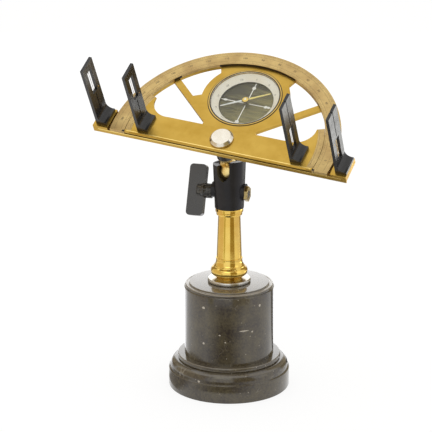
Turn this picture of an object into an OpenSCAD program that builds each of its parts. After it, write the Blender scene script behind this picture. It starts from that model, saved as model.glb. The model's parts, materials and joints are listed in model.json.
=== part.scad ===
// Graphometer: a half-circle surveying instrument on a turned column and stone foot.
// Millimetres. The origin is the centre of the foot's underside, +Z is up, the clamp screw
// lies along X and the mouth of the ball socket faces -Y.

/* [Pose at rest] */
// Lean of the head towards -Y, about the clamp screw's direction
head_tilt = 35; // [0:1:75]
// Turn of the head about its own stem
head_spin = -9; // [-180:1:180]
// Turn of the wing screw about its own axis, from upright
wing_turn = -20; // [-180:1:180]
// Direction of the needle on the dial
needle_turn = 32; // [-180:1:180]

/* [Limb and frame] */
// Outer radius of the graduated limb
limb_r = 100; // [90:1:120]
// Width of the graduated band
limb_w = 13.4; // [12:0.2:18]
// Thickness of the limb and of the end blocks
limb_t = 2.7; // [2.4:0.1:4]
// Thickness of the frame under the limb
frame_t = 2.8; // [2.4:0.1:4]
// Depth of the diametral bar, front to back
bar_w = 24; // [22:0.5:30]
// How far the front edge stands out before the bar
front_lip = 1.2; // [0.6:0.1:2]
// Depth of the rail under the front edge
rail_h = 1.4; // [0.8:0.1:2]
// Slit between the limb and each end block
ear_gap = 1.5; // [0.5:0.1:3]
// Length of each ear
ear_len = 14; // [12:0.5:20]
// Depth of each ear, front to back
ear_w = 20.4; // [18:0.2:24]
// Width of each spoke
spoke_w = 6; // [5:0.2:9]
// Angle of the spokes above the bar
spoke_angle = 40; // [34:1:46]
// How far the spokes and the rim reach under the limb
lap = 10.4; // [8:0.2:11.5]
// Half angle of the rim patch behind the compass
patch_angle = 23.5; // [18:0.5:27]
// Radius of the rounded corners between bar and spokes
corner_r = 3; // [1:0.5:4]

/* [Alidade] */
// Depth of the alidade bar, front to back
alidade_w = 23.4; // [20:0.2:28]
// Gap between the alidade and the frame, filled by a washer at the pivot
alidade_lift = 0.9; // [0.5:0.1:1.2]
// Running gap between the alidade's ends and the limb
end_gap = 0.3; // [0.2:0.1:0.8]
// Angle that each vernier sector reaches past the bar's middle line
sector_angle = 22; // [19:0.5:26]
// Radius of the scallop between bar and sector
scallop_r = 17; // [13:0.5:19]
// Width of the vernier strip
vernier_w = 5.4; // [4:0.2:8]
// Thickness of the vernier strip
vernier_t = 0.9; // [0.6:0.1:1.2]
// Bevel along the alidade's front edge
bevel = 1.2; // [0.3:0.1:1.5]
// Radius of the pivot that the alidade turns on
pivot_r = 5; // [3.5:0.5:6]
// Radius of the nickel cap over the pivot
cap_r = 10.2; // [9:0.2:11]
// Height of the nickel cap
cap_h = 4; // [3:0.5:6]

/* [Compass] */
// Outer radius of the compass box, as a share of the limb's
compass_share = 0.312; // [0.28:0.004:0.328]
// Depth of the compass box below the frame's top
compass_depth = 9.2; // [9:0.1:12]
// Wall and floor of the compass box
compass_wall = 1.6; // [1.2:0.1:2]
// Width of the plate between compass and limb
compass_rim = 4.9; // [3:0.1:6]
// Width of the plate ring round the compass
compass_ring = 7.4; // [6:0.2:9]
// Depth of the chapter ring's outer edge below the frame's top
chapter_depth = 2.4; // [2:0.1:4]
// Width of the chapter ring
chapter_w = 5.8; // [3:0.1:6.6]
// Thickness of the glass
glass_t = 1.2; // [0.8:0.1:1.5]
// Gap between the needle's points and the dial's edge
needle_gap = 1.2; // [0.5:0.1:4]
// Half width of the needle beside its boss
needle_w = 0.9; // [0.6:0.1:1.4]

/* [Sights] */
// Height of a sight above the plate that carries it
sight_h = 64; // [56:1:70]
// Width of a sight
sight_w = 17.6; // [15:0.2:18.4]
// Thickness of a sight's upright
sight_t = 2.6; // [2.2:0.1:3.4]
// Length of a sight's foot, upright included
foot_len = 10; // [9:0.2:11.5]
// Thickness of a sight's foot
foot_t = 2.6; // [2.4:0.1:3.4]
// Radius of the hollow between upright and foot
hollow_r = 6; // [3:0.5:6.5]
// Width of a sight's window
window_w = 7; // [6.5:0.1:8]
// Height of a sight's window
window_h = 25; // [20:0.5:26]
// Width of a sight's slit
slit_w = 0.9; // [0.6:0.1:1.4]
// Height left above an upper window
brow_h = 7.5; // [5:0.5:10]
// Height left below a lower window
sill_h = 6.5; // [6:0.5:9]
// From each moving sight's middle to the limb
sight_inset = 16.6; // [15:0.1:20]
// From the left fixed sight to the end of its ear
ear_ledge = 2.6; // [0.5:0.1:3]

/* [Ball joint] */
// Radius of the ball
ball_r = 10; // [9:0.2:10.6]
// Radius of the neck above the ball
neck_r = 2.6; // [2:0.1:3]
// From the ball's centre to the underside of the stem's collar
neck_len = 17.4; // [17:0.2:22]
// Thickness of the stem's collar
collar_t = 2; // [1.5:0.1:3]
// Radius of the hub under the frame
hub_r = 7.5; // [7:0.1:8.5]
// Length of the hub
hub_len = 15; // [14:0.5:20]
// Radius of the socket at its rim
socket_rim_r = 13.7; // [12.8:0.1:15]
// Radius of the socket at its foot
socket_foot_r = 12.1; // [11.4:0.1:13]
// Height of the socket
socket_h = 39; // [36:0.5:44]
// Height of the socket's rim above the ball's centre
socket_rise = 5; // [4:0.2:6]
// Width of the pointed mouth at the socket's front
mouth_w = 11; // [9:0.2:12]
// Depth of the pointed mouth below the ball's centre
mouth_drop = 9.2; // [7:0.2:10]
// Width of the saw cut that lets the socket close
saw_w = 1.2; // [0.8:0.1:2]
// Height of the clamp screw above the socket's foot
clamp_h = 14.5; // [14:0.1:16]
// Radius of the clamp screw
clamp_r = 3.2; // [2.4:0.1:3.4]
// Length of the wing, across the screw
wing_len = 43; // [34:0.5:46]
// Width of the wing, along the screw
wing_w = 13.5; // [11:0.5:16]
// Thickness of the wing
wing_t = 6.4; // [3:0.2:7]
// Width across flats of the clamp nut
nut_af = 12; // [10:0.2:13]
// Thickness of the clamp nut
nut_t = 3.2; // [2.6:0.2:5]

/* [Column and foot] */
// Height of the column between steel flange and socket
column_h = 61.4; // [55:0.2:80]
// Radius of the column under its top collar
column_top_r = 9.5; // [8.8:0.1:10.5]
// Radius of the column above its bell
column_low_r = 10.8; // [10:0.1:12]
// Greatest radius of the column's bell
bell_r = 15.4; // [14:0.2:17]
// Radius of the steel flange
flange_r = 18.6; // [16.5:0.2:22]
// Thickness of the steel flange
flange_t = 3.4; // [2.6:0.2:5]
// Radius of the spigot in the column
spigot_r = 6; // [5.5:0.1:7]
// Radius of the tie rod through the foot
rod_r = 3; // [2.5:0.1:3.6]
// Radius of the stone drum
drum_r = 38.7; // [34:0.5:42]
// Height of the stone drum
drum_h = 64.4; // [55:0.2:80]
// Step at the drum's top edge
drum_step = 2.7; // [1.5:0.1:4]
// Radius of the stone plinth
plinth_r = 52.5; // [50:0.5:60]
// Height of the stone plinth
plinth_h = 28.8; // [22:0.2:32]
// Height of the plinth's upright band
band_h = 16.2; // [9:0.2:18]
// Width of the ledge round the drum
ledge_w = 6; // [4:0.5:7]

/* [Hidden] */
$fn = 96;

// Clearances
run_fit = 0.05;
seat_fit = 0.02;
thrust_gap = 0.05;
cut_over = 1;

// Colours
brass = [0.80, 0.62, 0.24];
pale_brass = [0.76, 0.65, 0.42];
black = [0.16, 0.16, 0.17];
steel = [0.74, 0.75, 0.76];
stone = [0.30, 0.28, 0.26];

// Heights of the foot and column
drum_z = plinth_h;
drum_top = drum_z + drum_h;
column_z = drum_top + flange_t;
socket_z = column_z + column_h;
ball_z = socket_z + socket_h - socket_rise;
clamp_z = socket_z + clamp_h;

// Heights of the head along its stem, from the ball's centre
collar_top = neck_len + collar_t;
hub_z = collar_top + thrust_gap;
frame_z = hub_z + hub_len;
deck_z = frame_z + frame_t;
top_z = deck_z + limb_t;
alidade_z = deck_z + alidade_lift;
alidade_t = limb_t - alidade_lift;

// Plan of the head
limb_in = limb_r - limb_w;
ear_x0 = limb_r + ear_gap;
ear_x1 = ear_x0 + ear_len;
bar_y = bar_w / 2;
front_y = -bar_y - front_lip;
rail_w = front_lip;
ear_y = ear_w / 2 - bar_y;
rim_r = limb_in + lap;
alidade_r = limb_in - end_gap;
alidade_front = -alidade_w / 2 - front_lip;
vernier_r = alidade_r - vernier_w;
vernier_y = alidade_front + 2 * bevel;
compass_r = limb_r * compass_share;
compass_y = limb_in - compass_rim - compass_r;
ring_r = compass_r + compass_ring;
web_reach = limb_in * 0.71;
web_apex = compass_y + compass_r * 0.435;
patch_screw_angle = patch_angle * 0.7;
bar_screw_y = bar_y * 0.6;
sector_inset = 1;
corner_root = 1;
corner_bite = 0.03;

// Screws with countersunk heads
screw_r = 1.1;
screw_head_r = 2;
screw_head_h = 1;
screw_bite = 1.7;

// Hub, pivot and stem
hub_flange_r = hub_r + 4.2;
hub_flange_t = 2.4;
hub_screw_ring = hub_r + 2.3;
hub_screw_count = 4;
hub_screw_head_r = 1.7;
hub_screw_head_h = 1.1;
spindle_r = 3.4;
hub_shelf = 6.5;
stem_head_r = 5;
stem_head_h = 1.8;
stem_play = 0.15;
stem_thread_r = 1.6;
stem_thread_len = 6;
hub_cup_r = hub_r - 1.2;
pivot_head_h = 2.4;
cap_lift = 0.1;
washer_rim = 4;
scallop_dip = 0.15;
thread_r = 2.4;
thread_len = cap_h - 1.4;
cap_top_r = cap_r - 2;
cap_edge_h = 1.4;
cap_round = 0.3;
collar_taper = 0.6;

// Socket, clamp and wing
boss_r = clamp_r + 3.6;
boss_x = socket_rim_r + 0.5;
saw_bottom = clamp_h - clamp_r - 3;
tenon_r = 6.5;
tenon_h = saw_bottom - 1.6;
mouth_shoulder = 1;
mouth_h = mouth_drop - mouth_shoulder;
mouth_r = (mouth_w * mouth_w / 4 + mouth_h * mouth_h) / mouth_w;
mouth_turn = asin(mouth_h / mouth_r);
mouth_steps = 8;
screw_tail = 1;
wing_boss_r = clamp_r + 2.2;
wing_x = boss_x + 8.4;
wing_corner = 3;
wing_bulge = 1.1;

// Column mouldings
column_collar_r = socket_foot_r - 0.2;
column_collar_h = 2;
column_cove_h = 3.4;
column_ring = 0.8;
column_step = 0.4;
foot_edge = 0.6;
foot_ring_h = 2.4;
bell_z = 12.5;
bell_cove_h = 8;
bell_round = 2.4;
foot_r = bell_r - 3.4;
bore_depth = 30;
spigot_len = bore_depth - 1;
spigot_edge = 1;
flange_round = 1;

// Foot
rod_play = 0.4;
well_r = rod_r + 9;
felt_t = 1.5;
felt_r = plinth_r - 6;
well_top = felt_t + 10;
washer_r = rod_r + 6;
washer_t = 1.6;
tie_nut_af = rod_r * 3.6;
tie_nut_t = 5;
rod_tail = 1.5;
ledge_r = drum_r + ledge_w;
lip_h = 3.4;
groove_w = 1.2;
drum_shoulder_h = 4;
drum_edge = 0.4;

// Compass fittings
seat_r = compass_r - 1.2;
glass_ledge = 0.5;
bowl_r = seat_r - glass_ledge;
rim_rise = 0.5;
bezel_t = 0.7;
glass_z = deck_z + rim_rise - bezel_t - glass_t;
bezel_w = 0.6;
chapter_r = bowl_r - run_fit;
dial_r = chapter_r - chapter_w;
chapter_edge = 0.4;
dial_t = 0.8;
pit_r = dial_r + run_fit;
bowl_floor = deck_z - compass_depth + compass_wall;
chapter_top = deck_z - chapter_depth;
dial_top = bowl_floor + dial_t;
lug_r = 3.4;
lug_t = 1.6;
lug_out = compass_ring / 2;
lug_angles = [90, 215, 325];
lug_screw_r = 0.9;
lug_screw_head_r = 1.6;
lug_screw_head_h = 1;
post_r = 1;
post_h = 2;
post_shoulder = 0.4;
point_r = 0.12;
cup_r = 1.3;
cup_wall = 0.3;
cup_hang = 0.6;
stalk_r = cup_r + cup_wall;
needle_t = 0.5;
needle_len = dial_r - needle_gap;
needle_boss_r = stalk_r + 0.8;
cap_above = 0.7;
needle_air = 0.25;
needle_top = glass_z - needle_air - cap_above;
needle_z = needle_top - needle_t;
cup_z = needle_z - cup_hang;
cup_roof = 0.4;
cap_flange = 1.2;
cap_lip = 0.2;
cap_crown_r = stalk_r * 0.7;

// Sights
peg_r = 0.7;
peg_head_r = 1.3;
peg_head_h = 0.8;
hair_r = 0.2;
hair_bite = 1.2;
peg_side = window_w / 2 + 2.4;
slit_bridge = 2;
foot_screw_y = sight_w / 2 - 3.6;
foot_screw_x = sight_t + (foot_len - sight_t) * 0.55;
moving_sight_x = limb_in - sight_inset;

function polar(r, a) = [r * cos(a), r * sin(a)];
function arc(c, r, a0, a1, steps) = [for (i = [0:steps]) c + polar(r, a0 + (a1 - a0) * i / steps)];

// Places of repeated things
limb_screw_places = concat(
    [for (a = [spoke_angle, 180 - spoke_angle]) polar(limb_in + lap / 2, a)],
    [for (s = [-1, 1]) polar(limb_in + lap / 2, 90 + s * patch_screw_angle)],
    [for (s = [-1, 1], y = [-bar_screw_y, bar_screw_y]) [s * (limb_in + limb_w / 2), y]]
);
fixed_sight_places = [ear_ledge - ear_x1, ear_x1 - foot_len];
moving_sight_places = [-moving_sight_x - foot_len / 2, moving_sight_x - foot_len / 2];

// The head's own frame, with its origin at the ball's centre
module in_head() {
    translate([0, 0, ball_z]) rotate([head_tilt, 0, 0]) rotate([0, 0, head_spin]) children();
}

module in_compass() {
    in_head() translate([0, compass_y, 0]) children();
}

module along_x() {
    translate([0, 0, clamp_z]) rotate([0, 90, 0]) children();
}

module tube(outer_r, inner_r, h) {
    difference() {
        cylinder(r = outer_r, h = h);
        translate([0, 0, -cut_over]) cylinder(r = inner_r, h = h + 2 * cut_over);
    }
}

module countersunk(r, head_r, head_h, len) {
    rotate_extrude() polygon([[0, 0], [head_r, 0], [r, head_h], [r, len], [0, len]]);
}

module countersunk_hole(r, head_r, head_h, len) {
    translate([0, 0, -cut_over]) cylinder(r = head_r + seat_fit, h = cut_over);
    countersunk(r + seat_fit, head_r + seat_fit, head_h, len + seat_fit);
}

module wedge(r, a0, a1) {
    far = (r + cut_over) / cos((a1 - a0) / 8);
    polygon(concat([[0, 0]], [for (i = [0:4]) polar(far, a0 + (a1 - a0) * i / 4)]));
}

// Fills the sharp corner at p between edges that leave at angles a0 and a1
module corner_fill(p, a0, a1, r) {
    half = (a1 - a0) / 2;
    reach = r / tan(half);
    difference() {
        polygon([
            p - polar(corner_root, a0 + half), p + polar(reach, a0) + polar(corner_root, a0 - 90),
            p + polar(reach, a1) + polar(corner_root, a1 + 90)
        ]);
        translate(p + polar((r - corner_bite) / sin(half), a0 + half)) circle(r = r);
    }
}

module rounded_rect(w, h, r) {
    translate([-w / 2 + r, -h / 2]) square([w - 2 * r, h]);
    translate([-w / 2, -h / 2 + r]) square([w, h - 2 * r]);
    for (sx = [-1, 1], sy = [-1, 1])
        translate([sx * (w / 2 - r), sy * (h / 2 - r)]) circle(r = r);
}

// Foot and column

module marble_plinth() {
    round_r = plinth_r - groove_w - ledge_r;
    round_h = plinth_h - lip_h - band_h - groove_w;
    ovolo = [for (i = [0:8])
        [ledge_r + round_r * sin(i * 90 / 8), band_h + groove_w + round_h * cos(i * 90 / 8)]];
    color(stone) rotate_extrude() polygon(concat(
        [[rod_r + rod_play, plinth_h], [ledge_r - lip_h / 3, plinth_h], [ledge_r, plinth_h - lip_h / 3]],
        ovolo,
        [[plinth_r - groove_w, band_h], [plinth_r, band_h - groove_w / 2], [plinth_r, groove_w / 2],
         [plinth_r - groove_w / 2, 0], [felt_r + seat_fit, 0], [felt_r + seat_fit, felt_t],
         [well_r, felt_t], [well_r, well_top], [rod_r + rod_play, well_top]]
    ));
}

module base_felt() {
    color([0.1, 0.2, 0.15]) cylinder(r = felt_r, h = felt_t);
}

module marble_drum() {
    shoulder = [for (i = [0:8])
        [drum_r - drum_step + drum_step * sin(i * 90 / 8),
         drum_top - drum_shoulder_h + (drum_shoulder_h - drum_step / 2) * cos(i * 90 / 8)]];
    color(stone) rotate_extrude() polygon(concat(
        [[rod_r + rod_play, drum_z], [rod_r + rod_play, drum_top],
         [drum_r - drum_step - drum_edge, drum_top], [drum_r - drum_step, drum_top - drum_edge]],
        shoulder,
        [[drum_r, drum_z]]
    ));
}

module spigot_flange() {
    color(steel) translate([0, 0, drum_top]) difference() {
        rotate_extrude() polygon(concat(
            [[0, 0], [flange_r - flange_round, 0]],
            arc([flange_r - flange_round, flange_round], flange_round, -90, 0, 4),
            arc([flange_r - flange_round, flange_t - flange_round], flange_round, 0, 90, 4),
            [[spigot_r, flange_t], [spigot_r, flange_t + spigot_len - spigot_edge],
             [spigot_r - spigot_edge, flange_t + spigot_len], [0, flange_t + spigot_len]]
        ));
        translate([0, 0, -cut_over])
            cylinder(r = rod_r + seat_fit, h = flange_t + spigot_len / 2 + cut_over);
    }
}

module tie_rod() {
    bottom = well_top - washer_t - tie_nut_t - rod_tail;
    color(steel) translate([0, 0, bottom])
        cylinder(r = rod_r, h = drum_top + flange_t + spigot_len / 2 - bottom);
}

module tie_washer() {
    color(steel) translate([0, 0, well_top - washer_t]) tube(washer_r, rod_r + seat_fit, washer_t);
}

module tie_nut() {
    color(steel) translate([0, 0, well_top - washer_t - tie_nut_t]) difference() {
        cylinder(r = tie_nut_af / sqrt(3), h = tie_nut_t, $fn = 6);
        translate([0, 0, -cut_over]) cylinder(r = rod_r + seat_fit, h = tie_nut_t + 2 * cut_over);
    }
}

module column() {
    neck_z = column_h - column_collar_h - column_cove_h;
    ring_out = column_top_r + column_ring;
    cove_w = column_collar_r - ring_out;
    cove = [for (a = [0:15:90]) [ring_out + cove_w * (1 - cos(a)), neck_z + column_cove_h * sin(a)]];
    bell_top_r = column_low_r + column_step;
    lip_r = bell_round / 2;
    flare_w = bell_r - lip_r - bell_top_r;
    flare_z = bell_z + bell_cove_h;
    flare = [for (a = [75:-15:0]) [bell_top_r + flare_w * (1 - cos(a)), flare_z - bell_cove_h * sin(a)]];
    color(brass) translate([0, 0, column_z]) difference() {
        rotate_extrude() polygon(concat(
            [[0, 0], [foot_r - foot_edge, 0], [foot_r, foot_edge], [foot_r, foot_ring_h]],
            arc([bell_r - lip_r, bell_z - lip_r], lip_r, -60, 90, 6),
            flare,
            [[bell_top_r, flare_z + column_step], [column_low_r, flare_z + column_step]],
            [[column_top_r, neck_z - column_ring], [ring_out, neck_z - column_ring]],
            cove,
            [[column_collar_r, column_h], [tenon_r, column_h], [tenon_r, column_h + tenon_h],
             [0, column_h + tenon_h]]
        ));
        translate([0, 0, -cut_over]) cylinder(r = spigot_r + run_fit, h = bore_depth + cut_over);
    }
}

// Ball joint and clamp

module ball_socket() {
    color(black) difference() {
        union() {
            translate([0, 0, socket_z]) cylinder(r1 = socket_foot_r, r2 = socket_rim_r, h = socket_h);
            along_x() translate([0, 0, -boss_x]) cylinder(r = boss_r, h = 2 * boss_x);
        }
        translate([0, 0, socket_z - cut_over])
            cylinder(r = tenon_r + seat_fit, h = tenon_h + cut_over + seat_fit);
        translate([0, 0, ball_z]) sphere(r = ball_r + run_fit);
        along_x() translate([0, 0, -boss_x - cut_over])
            cylinder(r = clamp_r + run_fit, h = 2 * (boss_x + cut_over));
        translate([0, 0, ball_z]) rotate([90, 0, 0]) linear_extrude(socket_rim_r + cut_over) polygon(concat(
            [[-mouth_w / 2, socket_rise + cut_over]],
            arc([mouth_r - mouth_w / 2, -mouth_shoulder], mouth_r, 180, 180 + mouth_turn, mouth_steps),
            arc([mouth_w / 2 - mouth_r, -mouth_shoulder], mouth_r, mouth_turn / mouth_steps - mouth_turn,
                0, mouth_steps - 1),
            [[mouth_w / 2, socket_rise + cut_over]]
        ));
        translate([-saw_w / 2, 0, socket_z + saw_bottom])
            cube([saw_w, socket_rim_r + cut_over, socket_h]);
    }
}

module clamp_nut() {
    color(brass) along_x() translate([0, 0, boss_x]) difference() {
        cylinder(r = nut_af / sqrt(3), h = nut_t, $fn = 6);
        translate([0, 0, -cut_over]) cylinder(r = clamp_r + run_fit, h = nut_t + 2 * cut_over);
    }
}

module wing_screw() {
    color(black) along_x() rotate([0, 0, wing_turn]) {
        rotate([180, 0, 0]) translate([0, 0, -boss_x - nut_t])
            cylinder(r = clamp_r, h = 2 * boss_x + nut_t + screw_tail);
        translate([0, 0, -wing_x - wing_w / 2]) rotate_extrude() polygon(concat(
            [[0, 0]],
            arc([0, wing_boss_r + wing_bulge], wing_boss_r + wing_bulge, -90, 0, 8),
            [[wing_boss_r, wing_w / 2 + wing_boss_r],
             [wing_boss_r, wing_x + wing_w / 2 - boss_x - thrust_gap],
             [0, wing_x + wing_w / 2 - boss_x - thrust_gap]]
        ));
        translate([0, wing_t / 2, -wing_x - wing_w / 2]) rotate([90, 0, 0]) linear_extrude(wing_t)
            rounded_rect(wing_len, wing_w, wing_corner);
    }
}

module ball_stem() {
    color(brass) in_head() difference() {
        union() {
            sphere(r = ball_r);
            cylinder(r = neck_r, h = neck_len + cut_over);
            translate([0, 0, neck_len]) cylinder(r1 = hub_r - collar_taper, r2 = hub_r, h = collar_t);
            translate([0, 0, neck_len])
                cylinder(r = spindle_r, h = collar_t + thrust_gap + hub_shelf + stem_play);
        }
        translate([0, 0, hub_z + hub_shelf + stem_play - stem_thread_len])
            cylinder(r = stem_thread_r + seat_fit, h = stem_thread_len + cut_over);
    }
}

module stem_screw() {
    color(steel) in_head() translate([0, 0, hub_z + hub_shelf + stem_play]) {
        cylinder(r = stem_head_r, h = stem_head_h);
        translate([0, 0, -stem_thread_len + seat_fit]) cylinder(r = stem_thread_r, h = stem_thread_len);
    }
}

module hub() {
    color(black) in_head() difference() {
        union() {
            translate([0, 0, hub_z]) cylinder(r = hub_r, h = hub_len);
            translate([0, 0, frame_z - hub_flange_t]) cylinder(r = hub_flange_r, h = hub_flange_t);
        }
        translate([0, 0, hub_z - cut_over])
            cylinder(r = spindle_r + run_fit, h = hub_shelf + 2 * cut_over);
        translate([0, 0, hub_z + hub_shelf]) cylinder(r = hub_cup_r, h = hub_len);
        for (i = [0:hub_screw_count - 1])
            rotate(45 + i * 360 / hub_screw_count)
                translate([hub_screw_ring, 0, frame_z - hub_flange_t - cut_over])
                    cylinder(r = screw_r + seat_fit, h = hub_flange_t + 2 * cut_over, $fn = 32);
    }
}

module hub_screws() {
    color(brass) in_head() for (i = [0:hub_screw_count - 1])
        rotate(45 + i * 360 / hub_screw_count) translate([hub_screw_ring, 0, frame_z - hub_flange_t]) {
            translate([0, 0, -hub_screw_head_h])
                cylinder(r = hub_screw_head_r, h = hub_screw_head_h, $fn = 32);
            cylinder(r = screw_r, h = hub_flange_t + screw_bite, $fn = 32);
        }
}

// Frame and limb

module frame_plan() {
    corner_x = (bar_y + (spoke_w / 2) / cos(spoke_angle)) / tan(spoke_angle);
    web_corner = polar(web_reach, spoke_angle) + polar(spoke_w / 2, spoke_angle + 90);
    difference() {
        union() {
            translate([-limb_r, front_y]) square([2 * limb_r, bar_w + front_lip]);
            translate([-ear_x1, front_y]) square([2 * ear_x1, ear_w + front_lip]);
            translate([-bar_y, 0]) square([bar_w, compass_y]);
            translate([0, compass_y]) circle(r = ring_r);
            intersection() {
                translate([-limb_r, 0]) square([2 * limb_r, limb_r]);
                difference() {
                    circle(r = rim_r);
                    circle(r = limb_in);
                }
            }
            intersection() {
                wedge(rim_r, 90 - patch_angle, 90 + patch_angle);
                difference() {
                    circle(r = limb_in + lap / 2);
                    circle(r = compass_y + ring_r / 2);
                }
            }
            for (side = [0, 1]) mirror([side, 0]) {
                rotate(spoke_angle) translate([0, -spoke_w / 2]) square([limb_in + lap / 2, spoke_w]);
                polygon([[0, 0], web_corner, [0, web_apex]]);
                corner_fill([corner_x, bar_y], 0, spoke_angle, corner_r);
            }
        }
        translate([0, compass_y]) circle(r = compass_r + run_fit);
        circle(r = pivot_r + seat_fit);
    }
}

module frame() {
    color(brass) in_head() difference() {
        union() {
            translate([0, 0, frame_z]) linear_extrude(frame_t) frame_plan();
            translate([-ear_x1, front_y, frame_z - rail_h]) cube([2 * ear_x1, rail_w, rail_h + frame_t / 2]);
        }
        for (p = limb_screw_places)
            translate([p[0], p[1], frame_z])
                countersunk_hole(screw_r, screw_head_r, screw_head_h, frame_t + cut_over);
        for (x = fixed_sight_places, y = [-foot_screw_y, foot_screw_y])
            translate([x + foot_screw_x, ear_y + y, frame_z])
                countersunk_hole(screw_r, screw_head_r, screw_head_h, frame_t + cut_over);
        for (i = [0:hub_screw_count - 1])
            rotate(45 + i * 360 / hub_screw_count) translate([hub_screw_ring, 0, frame_z - cut_over])
                cylinder(r = screw_r + seat_fit, h = screw_bite + seat_fit + cut_over, $fn = 32);
        for (a = lug_angles)
            translate([0, compass_y, frame_z - cut_over]) rotate(a) translate([compass_r + lug_out, 0, 0])
                cylinder(r = lug_screw_r + seat_fit, h = screw_bite + seat_fit + cut_over, $fn = 32);
    }
}

module limb() {
    color(pale_brass) in_head() translate([0, 0, deck_z]) difference() {
        linear_extrude(limb_t) intersection() {
            difference() {
                circle(r = limb_r);
                circle(r = limb_in);
            }
            translate([-ear_x1, front_y]) square([2 * ear_x1, ear_x1 - front_y]);
        }
        for (p = limb_screw_places)
            translate([p[0], p[1], -cut_over])
                cylinder(r = screw_r + seat_fit, h = screw_bite + seat_fit + cut_over, $fn = 32);
    }
}

module limb_screws() {
    color(brass) in_head() for (p = limb_screw_places)
        translate([p[0], p[1], frame_z])
            countersunk(screw_r, screw_head_r, screw_head_h, frame_t + screw_bite, $fn = 32);
}

module end_block(side) {
    x0 = side < 0 ? -ear_x1 : ear_x0;
    sight_x = side < 0 ? fixed_sight_places[0] : fixed_sight_places[1];
    color(brass) in_head() translate([0, 0, deck_z]) difference() {
        translate([x0, front_y, 0]) cube([ear_len, ear_w + front_lip, limb_t]);
        for (y = [-foot_screw_y, foot_screw_y])
            translate([sight_x + foot_screw_x, ear_y + y, -cut_over])
                cylinder(r = screw_r + seat_fit, h = limb_t + 2 * cut_over, $fn = 32);
    }
}

module end_block_left() {
    end_block(-1);
}

module end_block_right() {
    end_block(1);
}

// Sights

module sight_profile() {
    square([sight_t, sight_h]);
    square([foot_len, foot_t]);
    difference() {
        translate([sight_t, foot_t]) square(hollow_r);
        translate([sight_t + hollow_r, foot_t + hollow_r]) circle(r = hollow_r);
    }
}

// A window with its slit; a high sight has its window in the upper half
module sight(high) {
    window_z = high ? sight_h - brow_h - window_h : sill_h + foot_t;
    slit_z = high ? sill_h + foot_t : window_z + window_h + slit_bridge;
    slit_h = high ? window_z - slit_bridge - slit_z : sight_h;
    peg_y = high ? peg_side : -peg_side;
    difference() {
        translate([0, sight_w / 2, 0]) rotate([90, 0, 0]) linear_extrude(sight_w) sight_profile();
        translate([-cut_over, -window_w / 2, window_z]) cube([foot_len, window_w, window_h]);
        translate([-cut_over, -slit_w / 2, slit_z]) cube([foot_len, slit_w, slit_h]);
        translate([sight_t / 2, 0, window_z - hair_bite])
            cylinder(r = hair_r + seat_fit, h = window_h + 2 * hair_bite, $fn = 24);
        translate([-cut_over, peg_y, sight_h / 2]) rotate([0, 90, 0])
            cylinder(r = peg_r + seat_fit, h = sight_t + 2 * cut_over, $fn = 32);
        for (y = [-foot_screw_y, foot_screw_y])
            translate([foot_screw_x, y, -cut_over])
                cylinder(r = screw_r + seat_fit, h = screw_bite + seat_fit + cut_over, $fn = 32);
    }
}

module sight_hair(high) {
    window_z = high ? sight_h - brow_h - window_h : sill_h + foot_t;
    translate([sight_t / 2, 0, window_z - hair_bite])
        cylinder(r = hair_r, h = window_h + 2 * hair_bite, $fn = 24);
}

module hair_peg(high) {
    peg_y = high ? peg_side : -peg_side;
    translate([0, peg_y, sight_h / 2]) rotate([0, 90, 0]) {
        cylinder(r = peg_r, h = sight_t, $fn = 32);
        translate([0, 0, -peg_head_h]) cylinder(r = peg_head_r, h = peg_head_h, $fn = 32);
    }
}

module on_ear(i) {
    in_head() translate([fixed_sight_places[i], ear_y, top_z]) children();
}

module on_alidade(i) {
    in_head() translate([moving_sight_places[i], 0, top_z]) children();
}

module fixed_sight_left() {
    color(black) on_ear(0) sight(true);
}

module fixed_sight_right() {
    color(black) on_ear(1) sight(false);
}

module moving_sight_left() {
    color(black) on_alidade(0) sight(true);
}

module moving_sight_right() {
    color(black) on_alidade(1) sight(false);
}

module fixed_sight_screws() {
    color(brass) for (i = [0, 1], y = [-foot_screw_y, foot_screw_y])
        on_ear(i) translate([foot_screw_x, y, frame_z - top_z])
            countersunk(screw_r, screw_head_r, screw_head_h, top_z - frame_z + screw_bite, $fn = 32);
}

module moving_sight_screws() {
    color(brass) for (i = [0, 1], y = [-foot_screw_y, foot_screw_y])
        on_alidade(i) translate([foot_screw_x, y, -alidade_t])
            countersunk(screw_r, screw_head_r, screw_head_h, alidade_t + screw_bite, $fn = 32);
}

module fixed_sight_hairs() {
    color(steel) for (i = [0, 1]) on_ear(i) sight_hair(i == 0);
}

module moving_sight_hairs() {
    color(steel) for (i = [0, 1]) on_alidade(i) sight_hair(i == 0);
}

module fixed_hair_pegs() {
    color(brass) for (i = [0, 1]) on_ear(i) hair_peg(i == 0);
}

module moving_hair_pegs() {
    color(brass) for (i = [0, 1]) on_alidade(i) hair_peg(i == 0);
}

// Compass

module compass_box() {
    box_z = deck_z - compass_depth;
    color(brass) in_compass() difference() {
        union() {
            translate([0, 0, box_z]) cylinder(r = compass_r, h = compass_depth + rim_rise);
            for (a = lug_angles) rotate(a) translate([compass_r + lug_out, 0, frame_z - lug_t]) {
                cylinder(r = lug_r, h = lug_t);
                translate([-lug_out - compass_wall / 2, -lug_r, 0])
                    cube([lug_out + compass_wall / 2, 2 * lug_r, lug_t]);
            }
        }
        translate([0, 0, bowl_floor]) cylinder(r = bowl_r, h = compass_depth);
        translate([0, 0, glass_z]) cylinder(r = seat_r, h = compass_depth);
        for (a = lug_angles) rotate(a) translate([compass_r + lug_out, 0, frame_z - lug_t - cut_over])
            cylinder(r = lug_screw_r + seat_fit, h = lug_t + 2 * cut_over, $fn = 32);
    }
}

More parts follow.
